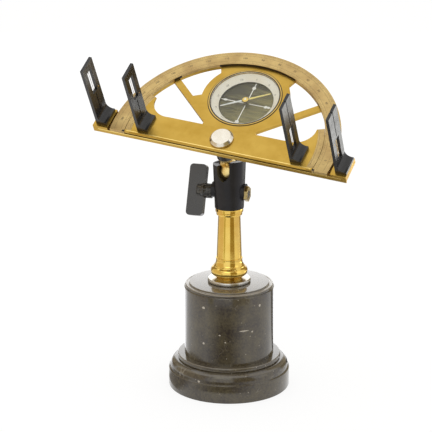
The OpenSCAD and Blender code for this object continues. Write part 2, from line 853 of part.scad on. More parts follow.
module compass_screws() {
    color(brass) in_compass() for (a = lug_angles)
        rotate(a) translate([compass_r + lug_out, 0, frame_z - lug_t]) {
            translate([0, 0, -lug_screw_head_h])
                cylinder(r = lug_screw_head_r, h = lug_screw_head_h, $fn = 32);
            cylinder(r = lug_screw_r, h = lug_t + screw_bite, $fn = 32);
        }
}

module chapter_ring() {
    color(steel) in_compass() rotate_extrude() polygon([
        [pit_r, bowl_floor], [chapter_r, bowl_floor], [chapter_r, chapter_top],
        [pit_r, dial_top + chapter_edge]
    ]);
}

module compass_dial() {
    color([0.36, 0.36, 0.32]) in_compass() translate([0, 0, bowl_floor])
        tube(dial_r, post_r + seat_fit, dial_t);
}

module needle_post() {
    shoulder = dial_top + post_h;
    tip = cup_z + (needle_top + cap_above - cup_roof - cup_z) - run_fit;
    color(steel) in_compass() rotate_extrude($fn = 32) polygon([
        [0, bowl_floor], [post_r, bowl_floor], [post_r, shoulder],
        [post_r - post_shoulder, shoulder + post_shoulder], [point_r, tip], [0, tip]
    ]);
}

module compass_glass() {
    color([0.8, 0.9, 0.9, 0.3]) in_compass() translate([0, 0, glass_z])
        cylinder(r = seat_r - seat_fit, h = glass_t);
}

module compass_bezel() {
    color(brass) in_compass() translate([0, 0, glass_z + glass_t])
        tube(seat_r - seat_fit, seat_r - bezel_w, bezel_t);
}

module compass_needle() {
    color(steel) in_compass() translate([0, 0, needle_z]) rotate(needle_turn) difference() {
        linear_extrude(needle_t) {
            polygon([[-needle_len, 0], [0, -needle_w], [needle_len, 0], [0, needle_w]]);
            circle(r = needle_boss_r, $fn = 32);
        }
        translate([0, 0, -cut_over])
            cylinder(r = stalk_r + seat_fit, h = needle_t + 2 * cut_over, $fn = 32);
    }
}

module needle_cap() {
    roof = needle_top + cap_above;
    color(brass) in_compass() rotate_extrude($fn = 32) polygon([
        [0, roof], [cap_crown_r, roof], [stalk_r + cap_flange, needle_top + cap_lip],
        [stalk_r + cap_flange, needle_top],
        [stalk_r, needle_top], [stalk_r, cup_z], [cup_r, cup_z], [0, roof - cup_roof]
    ]);
}

// Alidade

module alidade_plan() {
    bar_half = alidade_w / 2;
    hollow_x = polar(vernier_r - sector_inset, sector_angle)[0] - scallop_r;
    difference() {
        intersection() {
            circle(r = alidade_r);
            union() {
                translate([-limb_r, alidade_front]) square([2 * limb_r, alidade_w + front_lip]);
                for (side = [0, 1]) mirror([side, 0]) intersection() {
                    wedge(alidade_r, 0, sector_angle);
                    translate([hollow_x, 0]) square(limb_r);
                }
            }
        }
        for (side = [0, 1]) mirror([side, 0])
            translate([hollow_x, bar_half + scallop_r - scallop_dip]) circle(r = scallop_r);
        circle(r = pivot_r + run_fit);
    }
}

module vernier_plan(side, outer_r, inner_r, end_angle, front_y) {
    mirror([side < 0 ? 1 : 0, 0]) intersection() {
        difference() {
            circle(r = outer_r);
            circle(r = inner_r);
        }
        wedge(outer_r, -sector_angle, end_angle);
        translate([0, front_y]) square(2 * limb_r);
    }
}

module alidade() {
    color(brass) in_head() translate([0, 0, alidade_z]) difference() {
        linear_extrude(alidade_t) alidade_plan();
        for (side = [-1, 1]) translate([0, 0, alidade_t - vernier_t]) linear_extrude(vernier_t + cut_over)
            vernier_plan(side, limb_in, vernier_r - seat_fit, 2 * sector_angle, vernier_y - seat_fit);
        for (x = moving_sight_places, y = [-foot_screw_y, foot_screw_y])
            translate([x + foot_screw_x, y, 0])
                countersunk_hole(screw_r, screw_head_r, screw_head_h, alidade_t + cut_over);
        translate([-vernier_r, alidade_front, alidade_t]) rotate([45, 0, 0])
            translate([0, -bevel / sqrt(2), -bevel / sqrt(2)])
                cube([2 * vernier_r, bevel * sqrt(2), bevel * sqrt(2)]);
    }
}

module vernier(side) {
    color(pale_brass) in_head() translate([0, 0, top_z - vernier_t])
        linear_extrude(vernier_t) vernier_plan(side, alidade_r, vernier_r, sector_angle, vernier_y);
}

module vernier_left() {
    vernier(-1);
}

module vernier_right() {
    vernier(1);
}

module alidade_pivot() {
    color(steel) in_head() {
        translate([0, 0, frame_z - pivot_head_h]) cylinder(r = hub_cup_r - seat_fit, h = pivot_head_h);
        translate([0, 0, frame_z - cut_over])
            cylinder(r = pivot_r, h = top_z + cap_lift - frame_z + cut_over);
        translate([0, 0, top_z]) cylinder(r = thread_r, h = cap_lift + thread_len, $fn = 48);
    }
}

module pivot_washer() {
    color(brass) in_head() translate([0, 0, deck_z])
        tube(pivot_r + washer_rim, pivot_r + seat_fit, alidade_lift - thrust_gap);
}

module pivot_cap() {
    color([0.9, 0.9, 0.9]) in_head() translate([0, 0, top_z + cap_lift]) difference() {
        rotate_extrude() polygon([
            [0, 0], [cap_r, 0], [cap_r, cap_edge_h], [cap_top_r, cap_h - cap_round],
            [cap_top_r - cap_round, cap_h], [0, cap_h]
        ]);
        translate([0, 0, -cut_over])
            cylinder(r = thread_r + seat_fit, h = thread_len + seat_fit + cut_over, $fn = 48);
    }
}

marble_plinth();
base_felt();
marble_drum();
spigot_flange();
tie_rod();
tie_washer();
tie_nut();
column();
ball_socket();
clamp_nut();
wing_screw();
ball_stem();
stem_screw();
hub();
hub_screws();
frame();
limb();
limb_screws();
end_block_left();
end_block_right();
fixed_sight_left();
fixed_sight_right();
fixed_sight_screws();
fixed_sight_hairs();
fixed_hair_pegs();
compass_box();
compass_screws();
chapter_ring();
compass_dial();
needle_post();
compass_glass();
compass_bezel();
compass_needle();
needle_cap();
alidade_pivot();
pivot_washer();
pivot_cap();
alidade();
vernier_left();
vernier_right();
moving_sight_left();
moving_sight_right();
moving_sight_screws();
moving_sight_hairs();
moving_hair_pegs();
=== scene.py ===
"""Looks of a graphometer: a brass half-circle surveying instrument on a turned column and stone foot."""

from __future__ import annotations

import json
import logging
import math
from dataclasses import dataclass, field
from enum import Enum
from typing import Iterable, Sequence

import bmesh
import bpy
from mathutils import Euler, Matrix, Vector

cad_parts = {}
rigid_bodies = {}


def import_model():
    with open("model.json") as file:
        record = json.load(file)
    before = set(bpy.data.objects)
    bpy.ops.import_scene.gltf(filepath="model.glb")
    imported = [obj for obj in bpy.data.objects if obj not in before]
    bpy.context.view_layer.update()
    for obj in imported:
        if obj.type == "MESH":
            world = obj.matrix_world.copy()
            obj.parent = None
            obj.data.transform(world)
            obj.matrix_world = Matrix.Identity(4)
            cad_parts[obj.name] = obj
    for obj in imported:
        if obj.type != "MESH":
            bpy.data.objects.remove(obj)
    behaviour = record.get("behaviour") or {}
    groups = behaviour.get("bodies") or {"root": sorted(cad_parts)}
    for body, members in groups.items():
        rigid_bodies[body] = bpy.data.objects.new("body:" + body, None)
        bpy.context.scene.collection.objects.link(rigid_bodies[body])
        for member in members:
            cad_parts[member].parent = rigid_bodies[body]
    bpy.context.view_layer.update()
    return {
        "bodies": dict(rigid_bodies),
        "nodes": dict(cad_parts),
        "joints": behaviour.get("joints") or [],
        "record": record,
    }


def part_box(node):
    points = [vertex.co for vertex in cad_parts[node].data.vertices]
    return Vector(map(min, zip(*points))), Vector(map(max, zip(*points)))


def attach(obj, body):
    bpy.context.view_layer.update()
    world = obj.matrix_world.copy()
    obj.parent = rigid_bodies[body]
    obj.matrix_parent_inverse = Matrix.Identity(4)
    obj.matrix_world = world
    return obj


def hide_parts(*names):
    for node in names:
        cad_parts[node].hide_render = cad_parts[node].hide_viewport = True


LOG = logging.getLogger("graphometer")
MM = 0.001
STRAIGHT_FROM = 88.0
EDGE_SHARE = 0.48
WELD_GAP = 4e-6
FLAT_WITHIN = 0.5
Point2 = tuple[float, float]
Corner = tuple[float, float, float]
Colour = tuple[float, float, float]
Socket = bpy.types.NodeSocket
NOISE_BAND: Point2 = (0.3, 0.7)


def polar(radius: float, degrees: float) -> Point2:
    """Give a point by its distance from the middle and its angle."""
    return radius * math.cos(math.radians(degrees)), radius * math.sin(math.radians(degrees))


def turn_about(axis: str, degrees: float) -> Matrix:
    """Give a turn about an axis."""
    return Matrix.Rotation(math.radians(degrees), 4, axis)


def tint(red: int, green: int, blue: int) -> Colour:
    """Turn a colour as a screen shows it into linear light.

    Args:
        red: Red, 0 to 255.
        green: Green, 0 to 255.
        blue: Blue, 0 to 255.

    Returns:
        The three linear values.
    """
    parts = [v / 255 for v in (red, green, blue)]
    return tuple(v / 12.92 if v <= 0.04045 else ((v + 0.055) / 1.055) ** 2.4 for v in parts)


def rgba(colour: Colour) -> tuple[float, float, float, float]:
    """Add full opacity to a colour."""
    return (*colour, 1.0)


class Body(str, Enum):
    """The moving bodies of the instrument."""

    BASE = "base"
    COLUMN = "column"
    CLAMP = "clamp"
    BALL = "ball"
    HEAD = "head"
    NEEDLE = "needle"
    ALIDADE = "alidade"


class NodeSheet:
    """Short calls that add and join the nodes of one tree."""

    def __init__(self, tree: bpy.types.NodeTree) -> None:
        """Keep the tree that the calls work on.

        Args:
            tree: A shader tree or a geometry tree.
        """
        self.tree = tree

    def add(self, kind: str, settings: dict[str, object] | None = None, **sockets: object) -> bpy.types.Node:
        """Add a node and fill its sockets.

        Args:
            kind: The node's type name.
            settings: Properties of the node.
            **sockets: Values or sources by socket name, or in0, in1 and so on by place.

        Returns:
            The new node.
        """
        node = self.tree.nodes.new(kind)
        for key, value in (settings or {}).items():
            setattr(node, key, value)
        for key, value in sockets.items():
            self.feed(node, key, value)
        return node

    def feed(self, node: bpy.types.Node, key: str, value: object) -> None:
        """Set one socket to a value, or join it to a node or another socket.

        Args:
            node: The node that is fed.
            key: The socket's name with underscores, or its place as in0.
            value: A plain value, a node or a socket.
        """
        by_place = key.startswith("in") and key[2:].isdigit()
        socket = node.inputs[int(key[2:])] if by_place else node.inputs[key.replace("_", " ")]
        if isinstance(value, bpy.types.Node):
            self.tree.links.new(value.outputs[0], socket)
        elif isinstance(value, Socket):
            self.tree.links.new(value, socket)
        else:
            socket.default_value = value

    def math(self, operation: str, first: object, second: object = 0.0) -> Socket:
        """Add a math node and return its result."""
        return self.add("ShaderNodeMath", {"operation": operation}, in0=first, in1=second).outputs[0]

    def ramp(self, value: object, low: float, high: float, start: float = 0.0, end: float = 1.0) -> Socket:
        """Map a value from one range to another, held at the ends.

        Args:
            value: The value's source.
            low: Lowest value that counts.
            high: Highest value that counts.
            start: Result at the lowest value.
            end: Result at the highest value.

        Returns:
            The mapped value's socket.
        """
        node = self.add("ShaderNodeMapRange", {"clamp": True}, Value=value, From_Min=low, From_Max=high,
                        To_Min=start, To_Max=end)
        return node.outputs[0]

    def blend(self, factor: object, first: object, second: object) -> Socket:
        """Mix two colours.

        Args:
            factor: How much of the second colour shows.
            first: The first colour or its source.
            second: The second colour or its source.

        Returns:
            The mixed colour's socket.
        """
        node = self.add("ShaderNodeMix", {"data_type": "RGBA"}, in0=factor)
        for place, value in ((6, first), (7, second)):
            self.feed(node, f"in{place}", rgba(value) if isinstance(value, tuple) else value)
        return node.outputs[2]

    def noise(self, vector: object, scale: float, detail: float = 3.0, rough: float = 0.55) -> Socket:
        """Add a noise texture and return its value.

        Args:
            vector: The coordinates' source.
            scale: Waves per metre.
            detail: How many finer layers it has.
            rough: How strong the finer layers are.

        Returns:
            The noise value's socket.
        """
        node = self.add("ShaderNodeTexNoise", {"noise_dimensions": "3D"}, Vector=vector, Scale=scale,
                        Detail=detail, Roughness=rough)
        return node.outputs[0]

    def mean(self, first: object, second: object) -> Socket:
        """Give the mean of two values."""
        return self.math("ADD", self.math("MULTIPLY", first, 0.5), self.math("MULTIPLY", second, 0.5))

    def vector(self, operation: str, first: object, second: object = (0.0, 0.0, 0.0)) -> bpy.types.Node:
        """Add a vector math node."""
        return self.add("ShaderNodeVectorMath", {"operation": operation}, in0=first, in1=second)

    def length(self, vector: object) -> Socket:
        """Give a vector's length."""
        return self.vector("LENGTH", vector).outputs["Value"]

    def split(self, vector: object) -> tuple[Socket, ...]:
        """Give a vector's three parts."""
        return tuple(self.add("ShaderNodeSeparateXYZ", Vector=vector).outputs)

    def bump(self, height: object, strength: float, distance: float) -> bpy.types.Node:
        """Raise the surface a little by a height."""
        return self.add("ShaderNodeBump", Height=height, Strength=strength, Distance=distance)

    def object_place(self) -> Socket:
        """Give the object's own coordinates."""
        return self.add("ShaderNodeTexCoord").outputs["Object"]

    def seen(self) -> Socket:
        """Give 1 for rays from the camera, from mirrors and through glass."""
        path = self.add("ShaderNodeLightPath").outputs
        straight = self.math("MAXIMUM", path["Is Camera Ray"], path["Is Glossy Ray"])
        return self.math("MAXIMUM", straight, path["Is Transmission Ray"])


def cleared(owner: bpy.types.Material | bpy.types.World) -> NodeSheet:
    """Empty the nodes of a material or a world, and give the calls that fill them.

    Args:
        owner: The material or world.

    Returns:
        The calls for its tree.
    """
    owner.use_nodes = True
    owner.node_tree.nodes.clear()
    return NodeSheet(owner.node_tree)


@dataclass(frozen=True)
class HeadFrame:
    """Where the tilted head stands: its origin is the ball's centre."""

    ball_z: float = 192.0
    tilt: float = 35.0
    spin: float = -9.0

    def matrix(self) -> Matrix:
        """Give the matrix from the head's millimetres to the part's metres."""
        turn = turn_about("X", self.tilt) @ turn_about("Z", self.spin)
        return Matrix.Translation((0, 0, self.ball_z * MM)) @ turn @ Matrix.Scale(MM, 4)

    def euler(self) -> Euler:
        """Give the head's turn as angles."""
        return self.matrix().to_3x3().normalized().to_euler("XYZ")

    def local(self, sheet: NodeSheet, plain: object) -> Socket:
        """Give coordinates along the head's own axes.

        Args:
            sheet: The tree that is built.
            plain: The object coordinates.

        Returns:
            The turned coordinates' socket.
        """
        return sheet.add("ShaderNodeMapping", {"vector_type": "TEXTURE"}, Vector=plain,
                         Location=(0, 0, self.ball_z * MM), Rotation=self.euler()).outputs[0]


HEAD = HeadFrame()
UPRIGHT = Matrix.Scale(MM, 4)


class Lay(Enum):
    """Which way a metal's fine lines run."""

    ALONG_HEAD_X = "along the bar"
    ROUND_Z = "round the column"
    ROUND_HEAD_Z = "round the pivot"
    NONE = "no direction"


class Finish:
    """A procedural material that is made once."""

    name: str

    def __init__(self, spec: MetalSheet | PaintSheet | None = None) -> None:
        """Start with no material made.

        Args:
            spec: The finish's numbers, if it takes any.
        """
        self.made: bpy.types.Material | None = None
        if spec:
            self.spec = spec
            self.name = spec.name

    def material(self) -> bpy.types.Material:
        """Give the material, making it the first time."""
        if self.made is None:
            self.made = bpy.data.materials.new(self.name)
            sheet = cleared(self.made)
            sheet.add("ShaderNodeOutputMaterial", Surface=self.shade(sheet))
        return self.made

    def shade(self, sheet: NodeSheet) -> bpy.types.Node:
        """Build the shader; each finish has its own.

        Args:
            sheet: The tree that is built.

        Returns:
            The shader node.
        """
        raise NotImplementedError


@dataclass(frozen=True)
class MetalSheet:
    """The numbers of one metal finish."""

    name: str
    bright: Colour
    dull: Colour
    tarnish: Colour
    rough: Point2
    lay: Lay
    patch: float = 45.0
    grain: float = 0.15
    spots: float = 0.25
    metallic: float = 1.0


class Metal(Finish):
    """Metal with machining lines, patches and light tarnish."""

    along: Corner = (0.03, 1.0, 1.0)
    scratches: float = 2600.0
    scratch_depth: float = 0.00012
    patch_band: Point2 = (0.35, 0.65)
    spot_band: Point2 = (0.58, 0.76)
    spots_finer: float = 5.0

    def lines(self, sheet: NodeSheet) -> tuple[object, object]:
        """Give plain coordinates and coordinates drawn out along the lines.

        Args:
            sheet: The tree that is built.

        Returns:
            The object coordinates and the drawn-out ones.
        """
        plain = sheet.object_place()
        lay = self.spec.lay
        if lay is Lay.NONE:
            return plain, plain
        if lay is Lay.ROUND_Z:
            return plain, sheet.add("ShaderNodeCombineXYZ", Z=sheet.split(plain)[2])
        local = HEAD.local(sheet, plain)
        if lay is Lay.ALONG_HEAD_X:
            return plain, sheet.vector("MULTIPLY", local, self.along)
        x, y, z = sheet.split(local)
        away = sheet.length(sheet.add("ShaderNodeCombineXYZ", X=x, Y=y))
        return plain, sheet.add("ShaderNodeCombineXYZ", X=away, Z=z)

    def shade(self, sheet: NodeSheet) -> bpy.types.Node:
        """Build the metal's shader."""
        spec = self.spec
        plain, drawn = self.lines(sheet)
        patches = sheet.noise(plain, spec.patch, detail=4.0, rough=0.6)
        colour = sheet.blend(sheet.ramp(patches, *self.patch_band), spec.dull, spec.bright)
        cloud = sheet.noise(plain, spec.patch * self.spots_finer, detail=6.0, rough=0.7)
        colour = sheet.blend(sheet.ramp(cloud, *self.spot_band, end=spec.spots), colour, spec.tarnish)
        scratch = sheet.noise(drawn, self.scratches, detail=2.0, rough=0.6)
        rough = sheet.ramp(sheet.mean(patches, scratch), *NOISE_BAND, *spec.rough)
        return sheet.add("ShaderNodeBsdfPrincipled", Base_Color=colour, Roughness=rough,
                         Normal=sheet.bump(scratch, spec.grain, self.scratch_depth), Metallic=spec.metallic)


@dataclass(frozen=True)
class PaintSheet:
    """The numbers of one painted finish."""

    name: str
    base: Colour
    rubbed: Colour
    rough: Point2
    grain: float = 0.12
    wear: float = 0.35
    scale: float = 260.0
    gloss: float = 1.5


class Paint(Finish):
    """Thin black or dark paint with a fine skin and rubbed places."""

    skin_depth: float = 0.0001
    skin_finer: float = 12.0
    wear_coarser: float = 0.5
    wear_band: Point2 = (0.45, 0.75)

    def shade(self, sheet: NodeSheet) -> bpy.types.Node:
        """Build the paint's shader."""
        spec = self.spec
        plain = sheet.object_place()
        cloud = sheet.noise(plain, spec.scale * self.wear_coarser, detail=5.0, rough=0.65)
        skin = sheet.noise(plain, spec.scale * self.skin_finer, detail=2.0, rough=0.5)
        colour = sheet.blend(sheet.ramp(cloud, *self.wear_band, end=spec.wear), spec.base, spec.rubbed)
        rough = sheet.ramp(cloud, *NOISE_BAND, *spec.rough)
        return sheet.add("ShaderNodeBsdfPrincipled", Base_Color=colour, Roughness=rough,
                         Normal=sheet.bump(skin, spec.grain, self.skin_depth), IOR=spec.gloss)


@dataclass(frozen=True)
class Fleck:
    """A pale inclusion in the stone."""

    angle: float
    radius: float
    z: float
    size: float
    stretch: float = 1.0


FLECKS = (
    Fleck(angle=-107.7, radius=38.7, z=79.6, size=1.1, stretch=1.5),
    Fleck(angle=-31.2, radius=38.7, z=80.7, size=1.3),
    Fleck(angle=-85.6, radius=38.7, z=56.6, size=0.7, stretch=1.4),
    Fleck(angle=-78.2, radius=38.7, z=50.6, size=0.6),
    Fleck(angle=-107.7, radius=38.7, z=47.5, size=1.2),
    Fleck(angle=-42.9, radius=38.7, z=58.7, size=0.8, stretch=1.3),
    Fleck(angle=-54.0, radius=38.7, z=60.3, size=0.55, stretch=9.0),
    Fleck(angle=-103.7, radius=51.1, z=17.3, size=1.1, stretch=1.3),
    Fleck(angle=70.0, radius=38.7, z=58.0, size=0.9, stretch=1.5),
    Fleck(angle=140.0, radius=38.7, z=44.0, size=0.8),
    Fleck(angle=20.0, radius=52.5, z=6.0, size=0.9, stretch=1.8),
)


class Marble(Finish):
    """Dark stone with a high polish, a mottled grain, pale flecks, hair veins and painted highlights along
    its turned edges.
    """

    name = "dark_marble"
    dark: Colour = tint(56, 48, 42)
    olive: Colour = tint(92, 83, 62)
    # The pale colour serves the specks, veins and flecks, and also the painted highlights on the turned
    # edges.
    pale: Colour = tint(196, 186, 170)
    rough: Point2 = (0.14, 0.24)
    cloud_scale: float = 60.0
    grain_scale: float = 520.0
    olive_band: Point2 = (0.4, 0.6)
    speck_scale: float = 330.0
    speck_size: Point2 = (0.1, 0.2)
    speck_few: Point2 = (0.80, 0.9)
    speck_share: float = 0.55
    vein_scale: float = 26.0
    vein_half: float = 0.006
    gap_scale: float = 38.0
    gap_band: Point2 = (0.56, 0.66)
    vein_share: float = 0.3
    wobble_scale: float = 900.0
    wobble: float = 0.0012
    fleck_core: float = 0.7
    arris_core: float = 0.5
    # Painted highlights: height, half width and strength of each pale band along a turned edge.
    arrises: tuple[Corner, ...] = (
        (93.0, 0.25, 0.3), (91.7, 0.5, 0.45), (28.5, 0.35, 0.22), (26.0, 0.45, 0.4), (23.4, 0.9, 0.12),
    )

    def __init__(self, flecks: Sequence[Fleck]) -> None:
        """Keep the flecks that the stone shows.

        Args:
            flecks: Larger inclusions at their places.
        """
        super().__init__()
        self.flecks = tuple(flecks)

    def inclusions(self, sheet: NodeSheet, plain: object) -> object:
        """Give a mask of the larger flecks.

        Args:
            sheet: The tree that is built.
            plain: The object coordinates.

        Returns:
            The mask's socket, 1 inside a fleck.
        """
        wobble = sheet.add("ShaderNodeTexNoise", Vector=plain, Scale=self.wobble_scale)
        shift = Vector.Fill(3, self.wobble)
        shifted = sheet.add("ShaderNodeVectorMath", {"operation": "MULTIPLY_ADD"}, in1=shift, in2=plain,
                            in0=wobble.outputs["Color"])
        mask: object = 0.0
        for fleck in self.flecks:
            middle = Vector((*polar(fleck.radius, fleck.angle), fleck.z)) * MM + shift / 2
            apart = sheet.vector("SUBTRACT", shifted, middle)
            drawn = sheet.vector("MULTIPLY", apart, (1 / fleck.stretch, 1 / fleck.stretch, 1.0))
            edge = fleck.size * MM
            inside = sheet.ramp(sheet.length(drawn), edge * self.fleck_core, edge, 1.0, 0.0)
            mask = sheet.math("MAXIMUM", mask, inside)
        return mask

    def polished(self, sheet: NodeSheet, plain: object) -> object:
        """Give a mask of painted highlights: pale bands along the turned edges.

        Args:
            sheet: The tree that is built.
            plain: The object coordinates.

        Returns:
            The mask's socket.
        """
        height = sheet.split(plain)[2]
        mask: object = 0.0
        for z, half, share in self.arrises:
            away = sheet.math("ABSOLUTE", sheet.math("SUBTRACT", height, z * MM))
            inside = sheet.ramp(away, half * MM * self.arris_core, half * MM, share, 0.0)
            mask = sheet.math("MAXIMUM", mask, inside)
        return mask

    def shade(self, sheet: NodeSheet) -> bpy.types.Node:
        """Build the stone's shader."""
        plain = sheet.object_place()
        cloud = sheet.noise(plain, self.cloud_scale, detail=8.0, rough=0.7)
        grain = sheet.noise(plain, self.grain_scale, detail=6.0, rough=0.7)
        mottle = sheet.ramp(sheet.mean(cloud, grain), *self.olive_band)
        colour = sheet.blend(mottle, self.dark, self.olive)
        cells = sheet.add("ShaderNodeTexVoronoi", {"feature": "F1"}, Vector=plain, Scale=self.speck_scale)
        chosen = sheet.add("ShaderNodeSeparateColor", Color=cells.outputs["Color"]).outputs[0]
        speck = sheet.math("MULTIPLY", sheet.ramp(cells.outputs["Distance"], *self.speck_size, 1.0, 0.0),
                           sheet.ramp(chosen, *self.speck_few, end=self.speck_share))
        vein = sheet.add("ShaderNodeTexNoise", Vector=plain, Scale=self.vein_scale, Detail=3.0,
                         Distortion=1.6)
        line = sheet.math("ABSOLUTE", sheet.math("SUBTRACT", vein.outputs[0], 0.5))
        gaps = sheet.noise(plain, self.gap_scale, detail=2.0)
        broken = sheet.ramp(gaps, *self.gap_band, end=self.vein_share)
        thread = sheet.math("MULTIPLY", sheet.ramp(line, 0.0, self.vein_half, 1.0, 0.0), broken)
        # The last mask lays the painted highlights on the turned edges.
        for mask in (speck, thread, self.inclusions(sheet, plain), self.polished(sheet, plain)):
            colour = sheet.blend(mask, colour, self.pale)
        rough = sheet.ramp(grain, *NOISE_BAND, *self.rough)
        return sheet.add("ShaderNodeBsdfPrincipled", Base_Color=colour, Roughness=rough,
                         Normal=sheet.bump(grain, 0.05, 0.0002), Coat_Weight=0.5, Coat_Roughness=0.06)


class ClearGlass(Finish):
    """Thin clear glass that lets light through to the dial."""

    name = "clear_glass"
    colour: Colour = (0.97, 0.985, 0.975)
    bending: float = 1.3

    def shade(self, sheet: NodeSheet) -> bpy.types.Node:
        """Build the glass shader."""
        glass = sheet.add("ShaderNodeBsdfPrincipled", Base_Color=rgba(self.colour), Transmission_Weight=1.0,
                          Roughness=0.02, IOR=self.bending)
        path = sheet.add("ShaderNodeLightPath").outputs
        lit = sheet.math("MAXIMUM", path["Is Shadow Ray"], path["Is Diffuse Ray"])
        clear = sheet.add("ShaderNodeBsdfTransparent")
        return sheet.add("ShaderNodeMixShader", in0=lit, in1=glass, in2=clear)


class DialFace(Finish):
    """Olive dial under the glass, streaked, with painted shade that makes it a little darker at the far left.
    """

    name = "olive_dial"
    dark: Colour = tint(70, 64, 32)
    light: Colour = tint(152, 142, 84)
    along: Corner = (0.18, 1.0, 1.0)
    streak_scale: float = 420.0
    streak_band: Point2 = (0.35, 0.65)
    streak_share: Point2 = (-0.25, 0.35)
    # Painted shade: across this span of x minus y the dial darkens towards the far left.
    far_to_near: Point2 = (-0.085, -0.02)
    near_share: Point2 = (-0.1, 0.75)

    def shade(self, sheet: NodeSheet) -> bpy.types.Node:
        """Build the dial's shader."""
        local = HEAD.local(sheet, sheet.object_place())
        x, y, _ = sheet.split(local)
        drawn = sheet.vector("MULTIPLY", local, self.along)
        streaks = sheet.noise(drawn, self.streak_scale, detail=4.0, rough=0.65)
        # Painted shade, darker towards the far left, added to the streaks.
        near = sheet.ramp(sheet.math("SUBTRACT", x, y), *self.far_to_near, *self.near_share)
        share = sheet.math("ADD", near, sheet.ramp(streaks, *self.streak_band, *self.streak_share))
        colour = sheet.blend(sheet.ramp(share, 0.0, 1.0), self.dark, self.light)
        return sheet.add("ShaderNodeBsdfPrincipled", Base_Color=colour, Roughness=0.45,
                         Normal=sheet.bump(streaks, 0.2, 0.0001))


class Felt(Finish):
    """Short green felt under the foot."""

    name = "green_felt"
    dark: Colour = tint(22, 44, 34)
    light: Colour = tint(40, 68, 54)
    fibre_scale: float = 3200.0

    def shade(self, sheet: NodeSheet) -> bpy.types.Node:
        """Build the felt's shader."""
        fibre = sheet.noise(sheet.object_place(), self.fibre_scale, detail=4.0, rough=0.8)
        colour = sheet.blend(sheet.ramp(fibre, *NOISE_BAND), self.dark, self.light)
        return sheet.add("ShaderNodeBsdfPrincipled", Base_Color=colour, Roughness=0.95, Sheen_Weight=0.4,
                         Normal=sheet.bump(fibre, 0.6, 0.0003))


Screen = tuple[int, int, int]


def metal(name: str, tones: tuple[Screen, Screen, Screen], rough: Point2, lay: Lay, **more: float) -> Metal:
    """Make a metal finish.

    Args:
        name: The material's name.
        tones: Bright, dull and tarnished colour as a screen shows them.
        rough: Lowest and highest roughness.
        lay: Which way its fine lines run.
        **more: Other numbers of the finish.

    Returns:
        The finish.
    """
    return Metal(MetalSheet(name, *(tint(*tone) for tone in tones), rough, lay, **more))


def paint(name: str, base: Screen, rubbed: Screen, rough: Point2, **more: float) -> Paint:
    """Make a painted finish.

    Args:
        name: The material's name.
        base: Its colour as a screen shows it.
        rubbed: Its colour where it is rubbed.
        rough: Lowest and highest roughness.
        **more: Other numbers of the finish.

    Returns:
        The finish.
    """
    return Paint(PaintSheet(name, tint(*base), tint(*rubbed), rough, **more))


class Palette:
    """All finishes of the instrument, by their use."""

    def __init__(self) -> None:
        """Set each finish's numbers."""
        along, about, plain = Lay.ALONG_HEAD_X, Lay.ROUND_HEAD_Z, Lay.NONE
        brass = ((200, 164, 77), (184, 147, 62), (132, 92, 36))
        self.plate = metal("satin_brass", brass, (0.30, 0.42), along, grain=0.2)
        self.bar = metal("alidade_brass", brass, (0.27, 0.38), along, grain=0.2)
        self.hub = metal("hub_brass", brass, (0.2, 0.3), about, grain=0.12)
        self.turned = metal("turned_brass", ((240, 208, 112), (226, 184, 88), (164, 116, 46)), (0.09, 0.16),
                            Lay.ROUND_Z, grain=0.1, spots=0.15)
        self.limb = metal("graduated_brass", ((213, 187, 128), (186, 157, 105), (134, 108, 78)), (0.45, 0.6),
                          about, patch=70.0, grain=0.18, spots=0.5)
        self.rim = metal("rim_brass", ((220, 188, 110), (202, 166, 88), (150, 116, 56)), (0.25, 0.35), about)
        self.nickel = metal("nickel", ((232, 226, 212), (214, 204, 184), (160, 146, 118)), (0.16, 0.26),
                            about)
        self.steel = metal("turned_steel", ((212, 210, 204), (184, 180, 172), (128, 118, 104)), (0.2, 0.32),
                           Lay.ROUND_Z)
        self.silvered = metal("silvered_ring", ((255, 250, 234), (252, 242, 218), (210, 200, 178)),
                              (0.35, 0.45), about, metallic=0.0, spots=0.2)
        self.pale_steel = metal("pale_steel", ((232, 232, 228), (206, 206, 202), (150, 148, 140)),
                                (0.25, 0.35), plain, metallic=0.7)
        self.golden = metal("gilt_brass", ((236, 204, 108), (214, 174, 82), (150, 108, 46)), (0.22, 0.32),
                            plain)
        self.ball = metal("ball_brass", ((252, 232, 166), (240, 210, 134), (176, 134, 66)), (0.26, 0.4),
                          plain)
        self.pale_gold = metal("pale_gold", ((246, 228, 146), (230, 206, 114), (190, 156, 76)), (0.3, 0.4),
                               plain, metallic=0.7)
        # Painted highlight: a pale brass colour for thin strips along the front edges of the alidade and the
        # frame.
        self.edge_gold = metal("edge_gold", ((252, 224, 140), (240, 206, 114), (190, 150, 66)), (0.25, 0.35),
                               along)
        self.nut = metal("worn_nut", ((200, 180, 124), (156, 138, 94), (96, 84, 56)), (0.25, 0.35), plain)
        self.black = paint("black_paint", (30, 28, 27), (46, 42, 38), (0.2, 0.32), gloss=1.52)
        self.wing = paint("wing_black", (36, 34, 32), (56, 53, 48), (0.22, 0.34), gloss=1.75)
        self.knurl = paint("ribbed_black", (44, 42, 40), (128, 124, 114), (0.25, 0.4), wear=0.9, scale=900.0)
        self.socket = paint("socket_black", (34, 33, 36), (54, 51, 49), (0.3, 0.42), gloss=1.35)
        # Pale grey for the broken edges of black paint: partly rubbed paint, partly a painted highlight along
        # the edges.
        self.worn = paint("rubbed_edge", (92, 90, 86), (140, 134, 122), (0.3, 0.42), wear=0.8)
        self.ink = paint("engraved_black", (58, 44, 24), (92, 72, 42), (0.5, 0.65), wear=0.6)
        self.ring_ink = paint("ring_grey", (146, 140, 124), (176, 170, 152), (0.5, 0.6), wear=0.5)
        self.white = paint("dial_white", (246, 244, 236), (228, 224, 212), (0.45, 0.55))
        # Painted shade: a dark brown laid on walls, gaps and grooves where shade falls.
        self.shadow = paint("old_lacquer", (40, 30, 16), (64, 48, 24), (0.45, 0.55))
        self.dial = DialFace()
        self.marble = Marble(FLECKS)
        self.glass = ClearGlass()
        self.felt = Felt()


